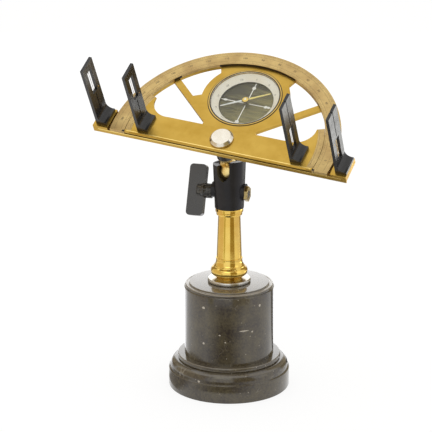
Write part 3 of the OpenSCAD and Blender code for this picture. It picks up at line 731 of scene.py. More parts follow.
def rounded(corners: Iterable[Corner], steps: int = 5) -> list[Point2]:
    """Round the corners of an open outline.

    Args:
        corners: Points with the radius that each is rounded by.
        steps: Straight pieces in each rounding.

    Returns:
        The outline's points.
    """
    points = list(corners)
    outline: list[Point2] = []
    for place, (x, y, radius) in enumerate(points):
        if radius <= 0 or place in (0, len(points) - 1):
            outline.append((x, y))
            continue
        here = Vector((x, y))
        back = Vector(points[place - 1][:2]) - here
        ahead = Vector(points[place + 1][:2]) - here
        half = back.angle(ahead, math.pi) / 2
        if half > math.radians(STRAIGHT_FROM):
            outline.append((x, y))
            continue
        reach = min(radius / math.tan(half), back.length * EDGE_SHARE, ahead.length * EDGE_SHARE)
        radius = reach * math.tan(half)
        centre = here + (back.normalized() + ahead.normalized()).normalized() * (radius / math.sin(half))
        first = here + back.normalized() * reach - centre
        last = here + ahead.normalized() * reach - centre
        sweep = first.angle_signed(last)
        for step in range(steps + 1):
            spoke = first.copy()
            spoke.rotate(Matrix.Rotation(-sweep * step / steps, 2))
            outline.append(tuple(centre + spoke))
    return outline


def arc(centre: Point2, radii: Point2, start: float, end: float, steps: int = 8) -> list[Corner]:
    """Give points along part of an ellipse, as unrounded corners.

    Args:
        centre: The ellipse's centre.
        radii: Its half axes.
        start: First angle in degrees.
        end: Last angle in degrees.
        steps: Straight pieces.

    Returns:
        The corners.
    """
    turns = [math.radians(start + (end - start) * i / steps) for i in range(steps + 1)]
    return [(centre[0] + radii[0] * math.cos(a), centre[1] + radii[1] * math.sin(a), 0.0) for a in turns]


def link(name: str, data: bpy.types.ID) -> bpy.types.Object:
    """Put a mesh, a lamp or another shape into the scene as an object at the origin."""
    obj = bpy.data.objects.new(name, data)
    bpy.context.scene.collection.objects.link(obj)
    return obj


def aimed(name: str, data: bpy.types.ID, place: Corner, aim: Corner) -> bpy.types.Object:
    """Stand a lamp or the camera at a place and turn it to its aim.

    Args:
        name: The object's name.
        data: The lamp or the camera.
        place: Where it stands.
        aim: Where it looks.

    Returns:
        The object.
    """
    obj = link(name, data)
    obj.location = place
    obj.rotation_euler = (Vector(aim) - Vector(place)).to_track_quat("-Z", "Y").to_euler()
    return obj


def smooth(mesh: bpy.types.Mesh, angle: float = 32.0) -> None:
    """Shade a mesh smooth, but keep edges sharper than an angle.

    Args:
        mesh: The mesh that is shaded.
        angle: Degrees from which an edge stays sharp.
    """
    mesh.polygons.foreach_set("use_smooth", [True] * len(mesh.polygons))
    mesh.set_sharp_from_angle(angle=math.radians(angle))


def from_bmesh(name: str, bm: bmesh.types.BMesh, place: Matrix) -> bpy.types.Object:
    """Turn a built shape into an object.

    Args:
        name: The object's name.
        bm: The shape in millimetres; it is freed.
        place: Matrix into the part's frame.

    Returns:
        The object.
    """
    bmesh.ops.transform(bm, matrix=place, verts=bm.verts)
    bmesh.ops.recalc_face_normals(bm, faces=bm.faces)
    mesh = bpy.data.meshes.new(name)
    bm.to_mesh(mesh)
    bm.free()
    return link(name, mesh)


def turned(name: str, outline: Sequence[Point2], place: Matrix, segments: int = 192) -> bpy.types.Object:
    """Turn an outline about its axis.

    Args:
        name: The object's name.
        outline: Radius and height in millimetres, from axis to axis or all round a ring.
        place: Matrix into the part's frame.
        segments: Facets round the axis.

    Returns:
        The turned object.
    """
    bm = bmesh.new()
    rings: list[list[bmesh.types.BMVert]] = []
    for radius, height in outline:
        if radius < 1e-6:
            rings.append([bm.verts.new((0, 0, height))])
            continue
        turns = [2 * math.pi * i / segments for i in range(segments)]
        rings.append([bm.verts.new((radius * math.cos(a), radius * math.sin(a), height)) for a in turns])
    pairs = list(zip(rings, rings[1:]))
    if len(rings[0]) > 1 and len(rings[-1]) > 1:
        pairs.append((rings[-1], rings[0]))
    for low, high in pairs:
        for i in range(segments):
            j = (i + 1) % segments
            quad = [low[i % len(low)], low[j % len(low)], high[j % len(high)], high[i % len(high)]]
            unique = list(dict.fromkeys(quad))
            if len(unique) > 2:
                bm.faces.new(unique)
    obj = from_bmesh(name, bm, place)
    smooth(obj.data)
    return obj


def plain_mesh(obj: bpy.types.Object) -> bpy.types.Mesh:
    """Give the mesh of an object as its modifiers or its letters leave it."""
    depsgraph = bpy.context.evaluated_depsgraph_get()
    return bpy.data.meshes.new_from_object(obj.evaluated_get(depsgraph), depsgraph=depsgraph)


def evaluated(obj: bpy.types.Object) -> None:
    """Apply an object's modifiers.

    Args:
        obj: The object; its mesh is exchanged and its modifiers are removed.
    """
    mesh = plain_mesh(obj)
    obj.modifiers.clear()
    obj.data = mesh


Words = list[tuple[str, Matrix]]


def numbered(values: Iterable[int], start: float, way: float, radius: float, height: float) -> Words:
    """Place numbers about a middle, with their feet towards it.

    Args:
        values: The numbers, which are also degrees.
        start: Angle of nought in degrees.
        way: 1 where the numbers run against the clock, or -1.
        radius: Distance of the numbers from the middle.
        height: Height of the face.

    Returns:
        Each number with its place.
    """
    upright = Matrix.Translation((0, radius, height))
    return [(str(value), turn_about("Z", start + way * value - 90) @ upright) for value in values]


def lettered(name: str, words: Words, size: float, place: Matrix, depth: float = 0.03) -> bpy.types.Object:
    """Make words on one piece as one mesh.

    Args:
        name: The piece's name.
        words: Each word with its own place, in millimetres.
        size: Height of the letters in millimetres.
        place: Where the whole piece stands.
        depth: Thickness in millimetres.

    Returns:
        The object.
    """
    bm = bmesh.new()
    for word, spot in words:
        curve = bpy.data.curves.new(f"{name}_{word}", "FONT")
        curve.body = word
        curve.size = size
        curve.extrude = depth
        curve.resolution_u = 3
        curve.align_x = "CENTER"
        curve.align_y = "CENTER"
        holder = link(curve.name, curve)
        mesh = plain_mesh(holder)
        mesh.transform(spot)
        bm.from_mesh(mesh)
        bpy.data.objects.remove(holder)
        bpy.data.curves.remove(curve)
        bpy.data.meshes.remove(mesh)
    return from_bmesh(name, bm, place)


class RepeatTree:
    """Geometry Nodes that set one shape at many places."""

    def __init__(self, name: str) -> None:
        """Start an empty tree.

        Args:
            name: The tree's name.
        """
        self.tree = bpy.data.node_groups.new(name, "GeometryNodeTree")
        self.sheet = NodeSheet(self.tree)
        self.keys: dict[str, str] = {}
        self.tree.interface.new_socket(name="Geometry", in_out="INPUT", socket_type="NodeSocketGeometry")
        self.tree.interface.new_socket(name="Geometry", in_out="OUTPUT", socket_type="NodeSocketGeometry")
        self.source = self.sheet.add("NodeGroupInput")

    def take(self, name: str, kind: str) -> Socket:
        """Add a named input.

        Args:
            name: The input's name.
            kind: Its socket type.

        Returns:
            The socket inside the tree.
        """
        socket = self.tree.interface.new_socket(name=name, in_out="INPUT", socket_type=kind)
        self.keys[name] = socket.identifier
        return self.source.outputs[name]

    def close(self, instances: object, material: object) -> None:
        """End the tree in real meshes with a material.

        Args:
            instances: The placed instances.
            material: The material's source.
        """
        real = self.sheet.add("GeometryNodeRealizeInstances", Geometry=instances)
        dressed = self.sheet.add("GeometryNodeSetMaterial", Geometry=real, Material=material)
        self.sheet.add("NodeGroupOutput", in0=dressed)

    def run(self, name: str, values: dict[str, object],
            start: bpy.types.Mesh | None = None) -> bpy.types.Object:
        """Make an object from the tree.

        Args:
            name: The object's name.
            values: The inputs by name.
            start: A mesh whose points carry the instances.

        Returns:
            The object with a plain mesh.
        """
        obj = link(name, start or bpy.data.meshes.new(name))
        modifier = obj.modifiers.new("repeat", "NODES")
        modifier.node_group = self.tree
        for key, value in values.items():
            modifier[self.keys[key]] = value
        evaluated(obj)
        return obj


@dataclass(frozen=True)
class Row:
    """A row of divisions about a middle: angles in degrees, lengths in millimetres."""

    count: int
    first: float
    step: float
    start: float
    inward: float
    lengths: Corner
    width: float
    height: float
    thick: float = 0.04


class DivisionTree(RepeatTree):
    """Divisions of a circle, or ribs round a shank: every fifth and tenth may be longer."""

    def __init__(self) -> None:
        """Build the tree."""
        super().__init__("divisions")
        sheet = self.sheet
        number, real = "NodeSocketInt", "NodeSocketFloat"
        count, first, step = self.take("Count", number), self.take("First", real), self.take("Step", real)
        start, inward = self.take("Start radius", real), self.take("Direction", real)
        short, middle, long = (self.take(key, real) for key in ("Short", "Middle", "Long"))
        width, thick, height = (self.take(key, real) for key in ("Width", "Thickness", "Height"))
        material = self.take("Finish", "NodeSocketMaterial")
        points = sheet.add("GeometryNodePoints", Count=count)
        index = sheet.add("GeometryNodeInputIndex").outputs[0]
        fifth = sheet.math("LESS_THAN", sheet.math("MODULO", index, 5.0), 0.5)
        tenth = sheet.math("LESS_THAN", sheet.math("MODULO", index, 10.0), 0.5)
        length = self.choose(tenth, self.choose(fifth, short, middle), long)
        angle = sheet.math("ADD", first, sheet.math("MULTIPLY", index, step))
        reach = sheet.math("ADD", start, sheet.math("MULTIPLY", sheet.math("MULTIPLY", length, 0.5), inward))
        place = sheet.add("ShaderNodeCombineXYZ", Z=height,
                          X=sheet.math("MULTIPLY", reach, sheet.math("COSINE", angle)),
                          Y=sheet.math("MULTIPLY", reach, sheet.math("SINE", angle)))
        moved = sheet.add("GeometryNodeSetPosition", Geometry=points, Position=place)
        line = sheet.add("GeometryNodeMeshCube")
        turn = sheet.add("FunctionNodeEulerToRotation", Euler=sheet.add("ShaderNodeCombineXYZ", Z=angle))
        scale = sheet.add("ShaderNodeCombineXYZ", X=length, Y=width, Z=thick)
        placed = sheet.add("GeometryNodeInstanceOnPoints", Points=moved, Instance=line, Rotation=turn,
                           Scale=scale)
        self.close(placed.outputs[0], material)

    def choose(self, switch: object, without: object, chosen: object) -> Socket:
        """Pick one of two numbers.

        Args:
            switch: Above zero picks the second.
            without: The first number.
            chosen: The second number.

        Returns:
            The picked number's socket.
        """
        node = self.sheet.add("GeometryNodeSwitch", {"input_type": "FLOAT"}, in0=switch, in1=without,
                              in2=chosen)
        return node.outputs[0]

    def lay(self, name: str, row: Row, finish: Finish, place: Matrix) -> bpy.types.Object:
        """Make one row.

        Args:
            name: The row's name.
            row: Its numbers.
            finish: The lines' finish.
            place: Matrix from the row's millimetres.

        Returns:
            The row's object.
        """
        short, middle, long = row.lengths
        piece = self.run(name, {
            "Count": row.count, "First": math.radians(row.first), "Step": math.radians(row.step),
            "Start radius": row.start, "Direction": row.inward, "Short": short, "Middle": middle,
            "Long": long, "Width": row.width, "Thickness": row.thick, "Height": row.height,
            "Finish": finish.material(),
        })
        piece.data.transform(place)
        return piece


class ScrewTree(RepeatTree):
    """Screws of one kind, set at points, each with its slot turned another way."""

    def __init__(self) -> None:
        """Build the tree."""
        super().__init__("slotted_screws")
        sheet = self.sheet
        screw = self.take("Screw", "NodeSocketObject")
        seed = self.take("Seed", "NodeSocketInt")
        material = self.take("Finish", "NodeSocketMaterial")
        shape = sheet.add("GeometryNodeObjectInfo", Object=screw)
        chance = sheet.add("FunctionNodeRandomValue", {"data_type": "FLOAT"}, in2=0.0, in3=math.pi, Seed=seed)
        turn = sheet.add("FunctionNodeEulerToRotation",
                         Euler=sheet.add("ShaderNodeCombineXYZ", Z=chance.outputs[1]))
        placed = sheet.add("GeometryNodeInstanceOnPoints", Points=self.source.outputs["Geometry"],
                           Instance=shape.outputs["Geometry"], Rotation=turn)
        self.close(placed.outputs[0], material)


@dataclass
class SubAssembly:
    """What every sub-assembly shares: the loaded frame, the finishes and the tree for divisions."""

    frame: dict
    palette: Palette
    divisions: DivisionTree

    def dress(self, obj: bpy.types.Object, finish: Finish, body: Body, slot: str,
              *nodes: str) -> bpy.types.Object:
        """Give a piece its finish, its body and the nodes that it stands for.

        Args:
            obj: The piece.
            finish: Its finish; extra finishes already on it stay.
            body: The body that it rides on.
            slot: Not used.
            *nodes: Nodes that it replaces.

        Returns:
            The piece.
        """
        if not obj.data.materials:
            obj.data.materials.append(finish.material())
        elif obj.data.materials[0] is None:
            obj.data.materials[0] = finish.material()
        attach(obj, body.value)
        if nodes:
            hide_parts(*nodes)
        LOG.info("%s rides on %s, %d faces", obj.name, body.value, len(obj.data.polygons))
        return obj

    def lathe(self, name: str, corners: Sequence[Corner], place: Matrix, finish: Finish, body: Body,
              slot: str, *nodes: str, segments: int = 192) -> None:
        """Turn a piece and dress it.

        Args:
            name: The piece's name.
            corners: Radius, height and rounding of each corner of its outline, in millimetres.
            place: Matrix into the part's frame.
            finish: Its finish.
            body: The body that it rides on.
            slot: The record's material slot.
            *nodes: Nodes that it replaces.
            segments: Facets round the axis.
        """
        self.dress(turned(name, rounded(corners), place, segments), finish, body, slot, *nodes)

    def paint(self, node: str, finish: Finish) -> None:
        """Give a carried-over node its finish."""
        mesh = self.frame["nodes"][node].data
        mesh.materials.clear()
        mesh.materials.append(finish.material())

    def merged(self, node: str, name: str) -> bpy.types.Object:
        """Copy a node's shape as clean faces.

        Args:
            node: The node that is copied.
            name: The copy's name.

        Returns:
            The copy.
        """
        bm = bmesh.new()
        bm.from_mesh(self.frame["nodes"][node].data)
        bmesh.ops.remove_doubles(bm, verts=bm.verts, dist=WELD_GAP)
        flat = math.radians(FLAT_WITHIN)
        bmesh.ops.dissolve_limit(bm, angle_limit=flat, verts=bm.verts, edges=bm.edges)
        bm.verts.index_update()
        mesh = bpy.data.meshes.new(name)
        mesh.from_pydata([v.co[:] for v in bm.verts], [], [[v.index for v in f.verts] for f in bm.faces])
        bm.free()
        mesh.update()
        return link(name, mesh)

    def softened(self, node: str, finish: Finish, body: Body, slot: str, width: float, segments: int = 2,
                 edge: Finish | None = None, angle: float = 35.0) -> bpy.types.Object:
        """Replace a node by its own shape with broken edges.

        Args:
            node: The node that is replaced.
            finish: The piece's finish.
            body: The body that it rides on.
            slot: The record's material slot.
            width: Width of the broken edges in millimetres.
            segments: Steps across an edge.
            edge: Finish of the edges, if another.
            angle: Degrees from which an edge is broken.

        Returns:
            The piece.
        """
        obj = self.merged(node, f"{node}_finished")
        obj.data.materials.append(finish.material())
        if edge:
            obj.data.materials.append(edge.material())
        smooth(obj.data, angle)
        bevel = obj.modifiers.new("edges", "BEVEL")
        bevel.width = width * MM
        bevel.segments = segments
        bevel.limit_method = "ANGLE"
        bevel.angle_limit = math.radians(angle)
        bevel.use_clamp_overlap = True
        bevel.material = 1 if edge else 0
        weighted = obj.modifiers.new("normals", "WEIGHTED_NORMAL")
        weighted.keep_sharp = True
        evaluated(obj)
        return self.dress(obj, finish, body, slot, node)


@dataclass
class Foot(SubAssembly):
    """Stone plinth and drum, steel flange, and the rod that ties them."""

    plinth_r: float = 52.5
    plinth_h: float = 28.8
    ledge_r: float = 44.7
    band_h: float = 16.2
    bore_r: float = 3.4
    well_r: float = 12.0
    felt_r: float = 46.52
    drum_r: float = 38.7
    drum_top: float = 93.2
    flange_r: float = 18.6
    flange_t: float = 3.4
    spigot_r: float = 6.0
    spigot_len: float = 29.0
    rod_hole_r: float = 3.02
    felt_depth: float = 1.5
    well_depth: float = 11.5
    ovolo: Point2 = (6.9, 7.3)
    bead_r: float = 1.1

    def build(self) -> None:
        """Make the foot's pieces."""
        self.plinth()
        self.drum()
        self.flange()
        for node in ("tie_rod", "tie_washer", "tie_nut"):
            self.paint(node, self.palette.steel)
        self.paint("base_felt", self.palette.felt)

    def plinth(self) -> None:
        """Turn the plinth with its lip, round and band."""
        outline: list[Corner] = [
            (self.bore_r, self.plinth_h, 0), (self.ledge_r - 0.2, self.plinth_h, 0.9),
            (self.ledge_r + 0.2, self.band_h + 9.7, 0.9), (self.ledge_r - 1.0, self.band_h + 9.1, 0.2),
        ]
        outline += arc((self.ledge_r - 0.4, self.band_h + 1.5), self.ovolo, 90, 0, 14)
        outline += [
            (self.plinth_r - 1.3, self.band_h + 0.3, 0.25), (self.plinth_r, self.band_h - 0.3, 0.7),
            (self.plinth_r, 0.0, 0.7), (self.felt_r, 0.0, 0), (self.felt_r, self.felt_depth, 0),
            (self.well_r, self.felt_depth, 0), (self.well_r, self.well_depth, 0),
            (self.bore_r, self.well_depth, 0),
        ]
        self.lathe("plinth_polished", outline, UPRIGHT, self.palette.marble, Body.BASE, "stone",
                   "marble_plinth")

    def drum(self) -> None:
        """Turn the drum with its stepped top edge."""
        top, r = self.drum_top, self.drum_r
        outline: list[Corner] = [
            (self.bore_r, self.plinth_h, 0), (self.bore_r, top, 0), (r - 4.3, top, 0.5),
            (r - 4.0, top - 1.2, 0.3), (r - 3.1, top - 1.6, 0.3),
        ]
        outline += arc((r - 1.9, top - 2.5), (self.bead_r, self.bead_r), 130, -20, 8)
        outline += [
            (r - 0.95, top - 3.4, 0.15), (r - 0.5, top - 3.5, 0.2), (r, top - 4.2, 0.4),
            (r, self.plinth_h, 0),
        ]
        self.lathe("drum_polished", outline, UPRIGHT, self.palette.marble, Body.BASE, "stone", "marble_drum")

    def flange(self) -> None:
        """Turn the steel flange with its spigot."""
        low, high, hole = self.drum_top, self.drum_top + self.flange_t, self.rod_hole_r
        tip = high + self.spigot_len
        roof = tip - self.spigot_len / 2
        outline: list[Corner] = [
            (hole, low, 0), (self.flange_r, low, 1.0), (self.flange_r, high, 1.3), (self.spigot_r, high, 0),
            (self.spigot_r, tip, 1.0), (0, tip, 0), (0, roof, 0), (hole, roof, 0), (hole, low, 0),
        ]
        self.lathe("flange_turned", outline, UPRIGHT, self.palette.steel, Body.BASE, "steel", "spigot_flange")


def share_of(value: float, low: float, high: float) -> float:
    """Give how far a value has gone from one bound to another, from 0 to 1."""
    return min(1.0, max(0.0, (value - low) / (high - low)))


@dataclass
class Column(SubAssembly):
    """Turned brass column and the black ball socket on it."""

    z: float = 96.6
    height: float = 61.4
    collar_up: float = 1.5
    top_r: float = 9.5
    low_r: float = 10.8
    bell_r: float = 15.4
    collar_r: float = 11.9
    foot_r: float = 12.0
    bore_r: float = 6.05
    bore_depth: float = 30.0
    tenon_r: float = 6.5
    tenon_h: float = 6.7
    mouth_turn: float = -8.0
    mouth_low: float = 0.45
    mouth_full: float = 0.45 + 1 / 6
    mouth_deep: float = 12.0
    rim_low: float = 0.8
    rim_span: Point2 = (-5.0, 1.0)
    rim_lift: Point2 = (-1.0, 3.0)
    socket_lift: Point2 = (1.6, 2.0)
    socket_wide: Point2 = (1.03, 1.025)

    def build(self) -> None:
        """Make the column's pieces."""
        self.shaft()
        self.socket()
        self.softened("clamp_nut", self.palette.nut, Body.COLUMN, "brass", width=0.5, segments=3)

    def socket(self) -> None:
        """Dress the socket, standing on the column's collar, with the mouth turned a little to the left."""
        p = self.palette
        piece = self.softened("ball_socket", p.socket, Body.COLUMN, "black", width=0.45, segments=3,
                              edge=p.worn)
        low, high = (corner[2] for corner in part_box("ball_socket"))
        for vert in piece.data.vertices:
            x, y, z = vert.co
            share = (z - low) / (high - low)
            right = share_of(x / MM, *self.rim_span)
            front = share_of(-y / MM, 0.0, self.mouth_deep) * share_of(share, self.mouth_low, self.mouth_full)
            turn = Matrix.Rotation(math.radians(self.mouth_turn) * front, 3, "Z")
            wide = self.between(self.socket_wide, share)
            lift = self.between(self.socket_lift, share)
            lift += self.between(self.rim_lift, right) * max(0.0, share - self.rim_low) / (1 - self.rim_low)
            vert.co = turn @ Vector((x * wide, y * wide, z + lift * MM))
        piece.data.update()

    @staticmethod
    def between(ends: Point2, share: float) -> float:
        """Give the value at a share of the way between two ends."""
        return ends[0] + (ends[1] - ends[0]) * share

    def shaft(self) -> None:
        """Turn the column with its collar, cove, bell and foot ring."""
        top = self.height
        foot = self.foot_r - 1.0
        outline: list[Corner] = [(self.bore_r, 0, 0), (foot, 0, 0.3), (foot + 0.3, 1.0, 0.3)]
        outline += arc((self.bell_r - 2.1, 6.6), (2.6, 3.6), -75, 75, 10)
        outline += [(self.bell_r - 2.1, 10.6, 0.2), (self.bell_r - 2.2, 11.2, 0.1)]
        outline += arc((self.bell_r - 1.8, 17.4), (2.4, 6.0), -100, -180, 9)
        outline += [
            (self.low_r + 0.7, 17.6, 0.2), (self.low_r + 0.7, 18.4, 0.2), (self.low_r, 18.6, 0.1),
            (self.top_r, top - 5.0, 0.1), (self.top_r + 1.5, top - 4.6, 0.3),
            (self.top_r + 1.7, top - 2.4, 0.3), (self.top_r + 1.4, top - 2.2, 0.05),
            (self.collar_r, top - 1.9, 0.4),
            (self.collar_r, top + self.collar_up, 0.4), (self.tenon_r, top + self.collar_up, 0),
            (self.tenon_r, top + self.tenon_h, 0), (0, top + self.tenon_h, 0), (0, self.bore_depth, 0),
            (self.bore_r, self.bore_depth, 0), (self.bore_r, 0, 0),
        ]
        place = Matrix.Translation((0, 0, self.z * MM)) @ UPRIGHT
        self.lathe("column_turned", outline, place, self.palette.turned, Body.COLUMN, "brass", "column")


@dataclass
class BallJoint(SubAssembly):
    """Wing screw, ball with its stem, and the hub under the frame."""

    blade_x: float = 29.35
    blade_w: float = 13.5
    blade_broader: float = 1.1
    blade_longer: float = 1.03
    blade_shift: float = 0.7
    root_gap: float = 0.1
    shank_r: float = 6.3
    shank_span: Point2 = (14.5, 28.2)
    shank_edge: float = 0.6
    ribs: int = 16
    rib_w: float = 1.2
    rib_h: float = 0.6
    rib_sunk: float = 0.05

    def build(self) -> None:
        """Make the joint's pieces."""
        self.wing()
        self.softened("ball_stem", self.palette.ball, Body.BALL, "brass", width=0.2)
        self.paint("stem_screw", self.palette.steel)
        self.softened("hub", self.palette.black, Body.HEAD, "black", width=0.3, edge=self.palette.worn)

    def wing(self) -> None:
        """Dress the wing screw, with a broader blade and a ribbed shank."""
        piece = self.softened("wing_screw", self.palette.wing, Body.CLAMP, "black", width=0.8, segments=3,
                              edge=self.palette.worn)
        low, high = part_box("clamp_nut")
        y, z = (low[1] + high[1]) / 2, (low[2] + high[2]) / 2
        middle = -self.blade_x * MM
        root = middle + (self.blade_w / 2 + self.root_gap) * MM
        for vert in piece.data.vertices:
            if vert.co.x < root:
                vert.co.x = middle + (vert.co.x - middle) * self.blade_broader + self.blade_shift * MM
                vert.co.y = y + (vert.co.y - y) * self.blade_longer
                vert.co.z = z + (vert.co.z - z) * self.blade_longer
        piece.data.update()
        self.shank(Matrix.Translation((0, y, z)) @ Matrix.Rotation(-math.pi / 2, 4, "Y") @ UPRIGHT)

    def shank(self, place: Matrix) -> None:
        """Turn the wing's shank and lay ribs along it.

        Args:
            place: From the screw's axis, in millimetres towards the wing, to the world.
        """
        knurl, edge = self.palette.knurl, self.shank_edge
        core, (low, high) = self.shank_r - self.rib_h, self.shank_span
        outline: list[Corner] = [
            (0, low, 0), (core - 0.4, low, 0), (core, low + edge, 0), (core, high - edge, 0),
            (core - 0.5, high, 0), (0, high, 0),
        ]
        self.lathe("wing_shank", outline, place, knurl, Body.CLAMP, "black", segments=48)
        tall = self.rib_h + self.rib_sunk
        ribs = Row(count=self.ribs, first=0.0, step=360 / self.ribs, start=core - self.rib_sunk, inward=1.0,
                   lengths=(tall, tall, tall), width=self.rib_w, height=(low + high) / 2,
                   thick=high - low - 2 * edge)
        self.dress(self.divisions.lay("wing_shank_ribs", ribs, knurl, place), knurl, Body.CLAMP, "black")


@dataclass
class Plates(SubAssembly):
    """Frame, limb, end blocks and alidade, with the limb's divisions."""

    top_z: float = 39.95
    deck_z: float = 37.25
    limb_in: float = 86.6
    vernier_r: float = 86.3
    vernier_line_r: float = 82.4
    front_y: float = -13.2
    number_r: float = 92.9
    number_h: float = 2.8
    line_w: float = 0.12
    line_t: float = 0.04
    wall_skin: Point2 = (-0.08, 0.1)
    gap_reach: Point2 = (-0.2, 2.0)
    gap_half: float = 0.6
    arc_step: float = 1.5
    arc_least: int = 8
    cap_r: float = 10.2
    cap_top_r: float = 8.2
    cap_bore_r: float = 2.42

    def build(self) -> None:
        """Make the plates and their divisions."""
        p = self.palette
        self.softened("frame", p.plate, Body.HEAD, "brass", width=0.3)
        self.softened("limb", p.limb, Body.HEAD, "pale_brass", width=0.25)
        for side in ("left", "right"):
            self.softened(f"end_block_{side}", p.plate, Body.HEAD, "brass", width=0.25)
            self.softened(f"vernier_{side}", p.limb, Body.ALIDADE, "pale_brass", width=0.06, segments=1)
        self.softened("alidade", p.bar, Body.ALIDADE, "brass", width=0.22)
        self.paint("pivot_washer", p.plate)
        self.paint("alidade_pivot", p.steel)
        self.cap()
        self.limb_divisions()
        self.vernier_divisions()
        self.numbers()
        self.dark_edges()

    def cap(self) -> None:
        """Turn the nickel cap over the pivot."""
        low, bore = self.top_z + 0.1, self.cap_bore_r
        outline: list[Corner] = [
            (bore, low, 0), (self.cap_r, low, 0.3), (self.cap_r, low + 1.4, 0.4),
            (self.cap_top_r, low + 3.8, 0.7), (0, low + 4.0, 0), (0, low + 2.62, 0), (bore, low + 2.62, 0),
            (bore, low, 0),
        ]
        self.lathe("cap_polished", outline, HEAD.matrix(), self.palette.nickel, Body.HEAD, "nickel",
                   "pivot_cap", segments=128)

    def row(self, name: str, body: Body, row: Row) -> None:
        """Engrave one row of divisions.

        Args:
            name: The row's name.
            body: The body that it rides on.
            row: Its numbers.
        """
        ink = self.palette.ink
        self.dress(self.divisions.lay(name, row, ink, HEAD.matrix()), ink, body, "pale_brass")

    def limb_divisions(self) -> None:
        """Lay the limb's two rows and the circles beside them."""
        for name, start, inward, lengths in (
            ("outer", 99.2, -1.0, (1.4, 1.9, 3.0)), ("inner", 87.0, 1.0, (1.2, 1.7, 2.6)),
        ):
            halves = Row(count=361, first=0.0, step=0.5, start=start, inward=inward, lengths=lengths,
                         width=0.09, height=self.top_z)
            self.row(f"limb_{name}_degrees", Body.HEAD, halves)
        for name, radius in (("limb_circles", 90.0), ("limb_circles_1", 95.9)):
            self.circle(name, radius, (-7.2, 187.2), Body.HEAD)

    def vernier_divisions(self) -> None:
        """Lay the verniers' lines and the lines along their inner edges."""
        for side, first, step in (("right", 0.0, 0.95), ("left", 180.0, -0.95)):
            lines = Row(count=21, first=first, step=step, start=self.vernier_r - 0.2, inward=-1.0,
                        lengths=(1.6, 2.2, 3.0), width=0.1, height=self.top_z)
            self.row(f"vernier_lines_{side}", Body.ALIDADE, lines)
        for side, turn in (("right", (-6.6, 21.5)), ("left", (158.5, 186.6))):
            self.circle(f"vernier_circle_{side}", self.vernier_line_r, turn, Body.ALIDADE)

    def circle(self, name: str, radius: float, turn: Point2, body: Body) -> None:
        """Engrave an arc about the pivot.

        Args:
            name: The piece's name.
            radius: The arc's radius.
            turn: First and last angle in degrees.
            body: The body that it rides on.
        """
        wide, tall = self.line_w / 2, self.line_t / 2
        heights = (self.top_z - tall, self.top_z + tall)
        self.band(name, (radius - wide, radius + wide), heights, turn, body, self.palette.ink)

    def band(self, name: str, radii: Point2, heights: Point2, turn: Point2, body: Body,
             finish: Finish) -> None:
        """Lay an arched strip about the pivot.

        Args:
            name: The piece's name.
            radii: Inner and outer radius.
            heights: Lower and upper height in the head's frame.
            turn: First and last angle in degrees.
            body: The body that it rides on.
            finish: Its finish.
        """
        bm = bmesh.new()
        steps = max(self.arc_least, int(abs(turn[1] - turn[0]) / self.arc_step))
        angles = [math.radians(turn[0] + (turn[1] - turn[0]) * i / steps) for i in range(steps + 1)]
        corners = [(r, z) for r, z in zip(sorted(radii * 2), heights + heights[::-1])]
        rails = [[bm.verts.new((r * math.cos(a), r * math.sin(a), z)) for a in angles] for r, z in corners]
        for i in range(steps):
            for one, two in zip(rails, rails[1:] + rails[:1]):
                bm.faces.new((one[i], one[i + 1], two[i + 1], two[i]))
        for i in (0, steps):
            bm.faces.new([rail[i] for rail in rails])
        piece = from_bmesh(name, bm, HEAD.matrix())
        self.dress(piece, finish, body, "pale_brass")

    def dark_edges(self) -> None:
        """Lay painted shade on the limb's wall and in the gaps beside it, and painted highlights along the
        front edges.
        """
        shadow, gold = self.palette.shadow, self.palette.edge_gold
        wall = tuple(self.limb_in + by for by in self.wall_skin)
        low, top = self.deck_z + 0.03, self.top_z
        # Painted shade: dark bands on the limb's inner wall where it stands over the compass patch and the
        # spoke ends.
        for name, turn in (
            ("patch", (66.0, 114.0)), ("spoke_right", (38.6, 43.4)), ("spoke_left", (136.6, 141.4)),
        ):
            self.band(f"limb_wall_{name}", wall, (low, top - 0.35), turn, Body.HEAD, shadow)
        # Painted shade in the gaps beside the alidade's front corners.
        gap = tuple(self.limb_in + by for by in self.gap_reach)
        for name, middle in (("right", -8.0), ("left", 188.0)):
            turn = (middle - self.gap_half, middle + self.gap_half)
            self.band(f"front_gap_{name}", gap, (self.deck_z, top + 0.02), turn, Body.HEAD, shadow)
        front = (0, self.front_y - 0.005, self.deck_z - 0.6)
        # Painted shade in the gaps at the ends of the bar, and painted highlights along the front edges of
        # the alidade and the frame.
        for name, middle, size, body, finish in (
            ("end_gap_left", (-100.75, -2.4, low), (1.2, 21.2, 0.06), Body.HEAD, shadow),
            ("end_gap_right", (100.75, -2.4, low), (1.2, 21.2, 0.06), Body.HEAD, shadow),
            ("alidade_front_edge", (0, -11.3, top + 0.01), (168.0, 0.75, 0.04), Body.ALIDADE, gold),
            ("frame_front_edge", front, (222.0, 0.04, 0.9), Body.HEAD, gold),
        ):
            self.strip(name, middle, size, body, finish)

    def strip(self, name: str, middle: Corner, size: Corner, body: Body, finish: Finish) -> None:
        """Lay a thin straight strip on the head.

        Args:
            name: The piece's name.
            middle: Its middle in the head's frame.
            size: Its length, width and height.
            body: The body that it rides on.
            finish: Its finish.
        """
        bm = bmesh.new()
        bmesh.ops.create_cube(bm, size=1.0, matrix=Matrix.Translation(middle) @ Matrix.Diagonal((*size, 1)))
        self.dress(from_bmesh(name, bm, HEAD.matrix()), finish, body, "brass")

    def numbers(self) -> None:
        """Set the limb's numbers, with their feet towards the pivot."""
        words = numbered(range(0, 181, 10), 0.0, 1.0, self.number_r, self.top_z)
        piece = lettered("limb_numbers", words, self.number_h, HEAD.matrix())
        self.dress(piece, self.palette.ink, Body.HEAD, "pale_brass")


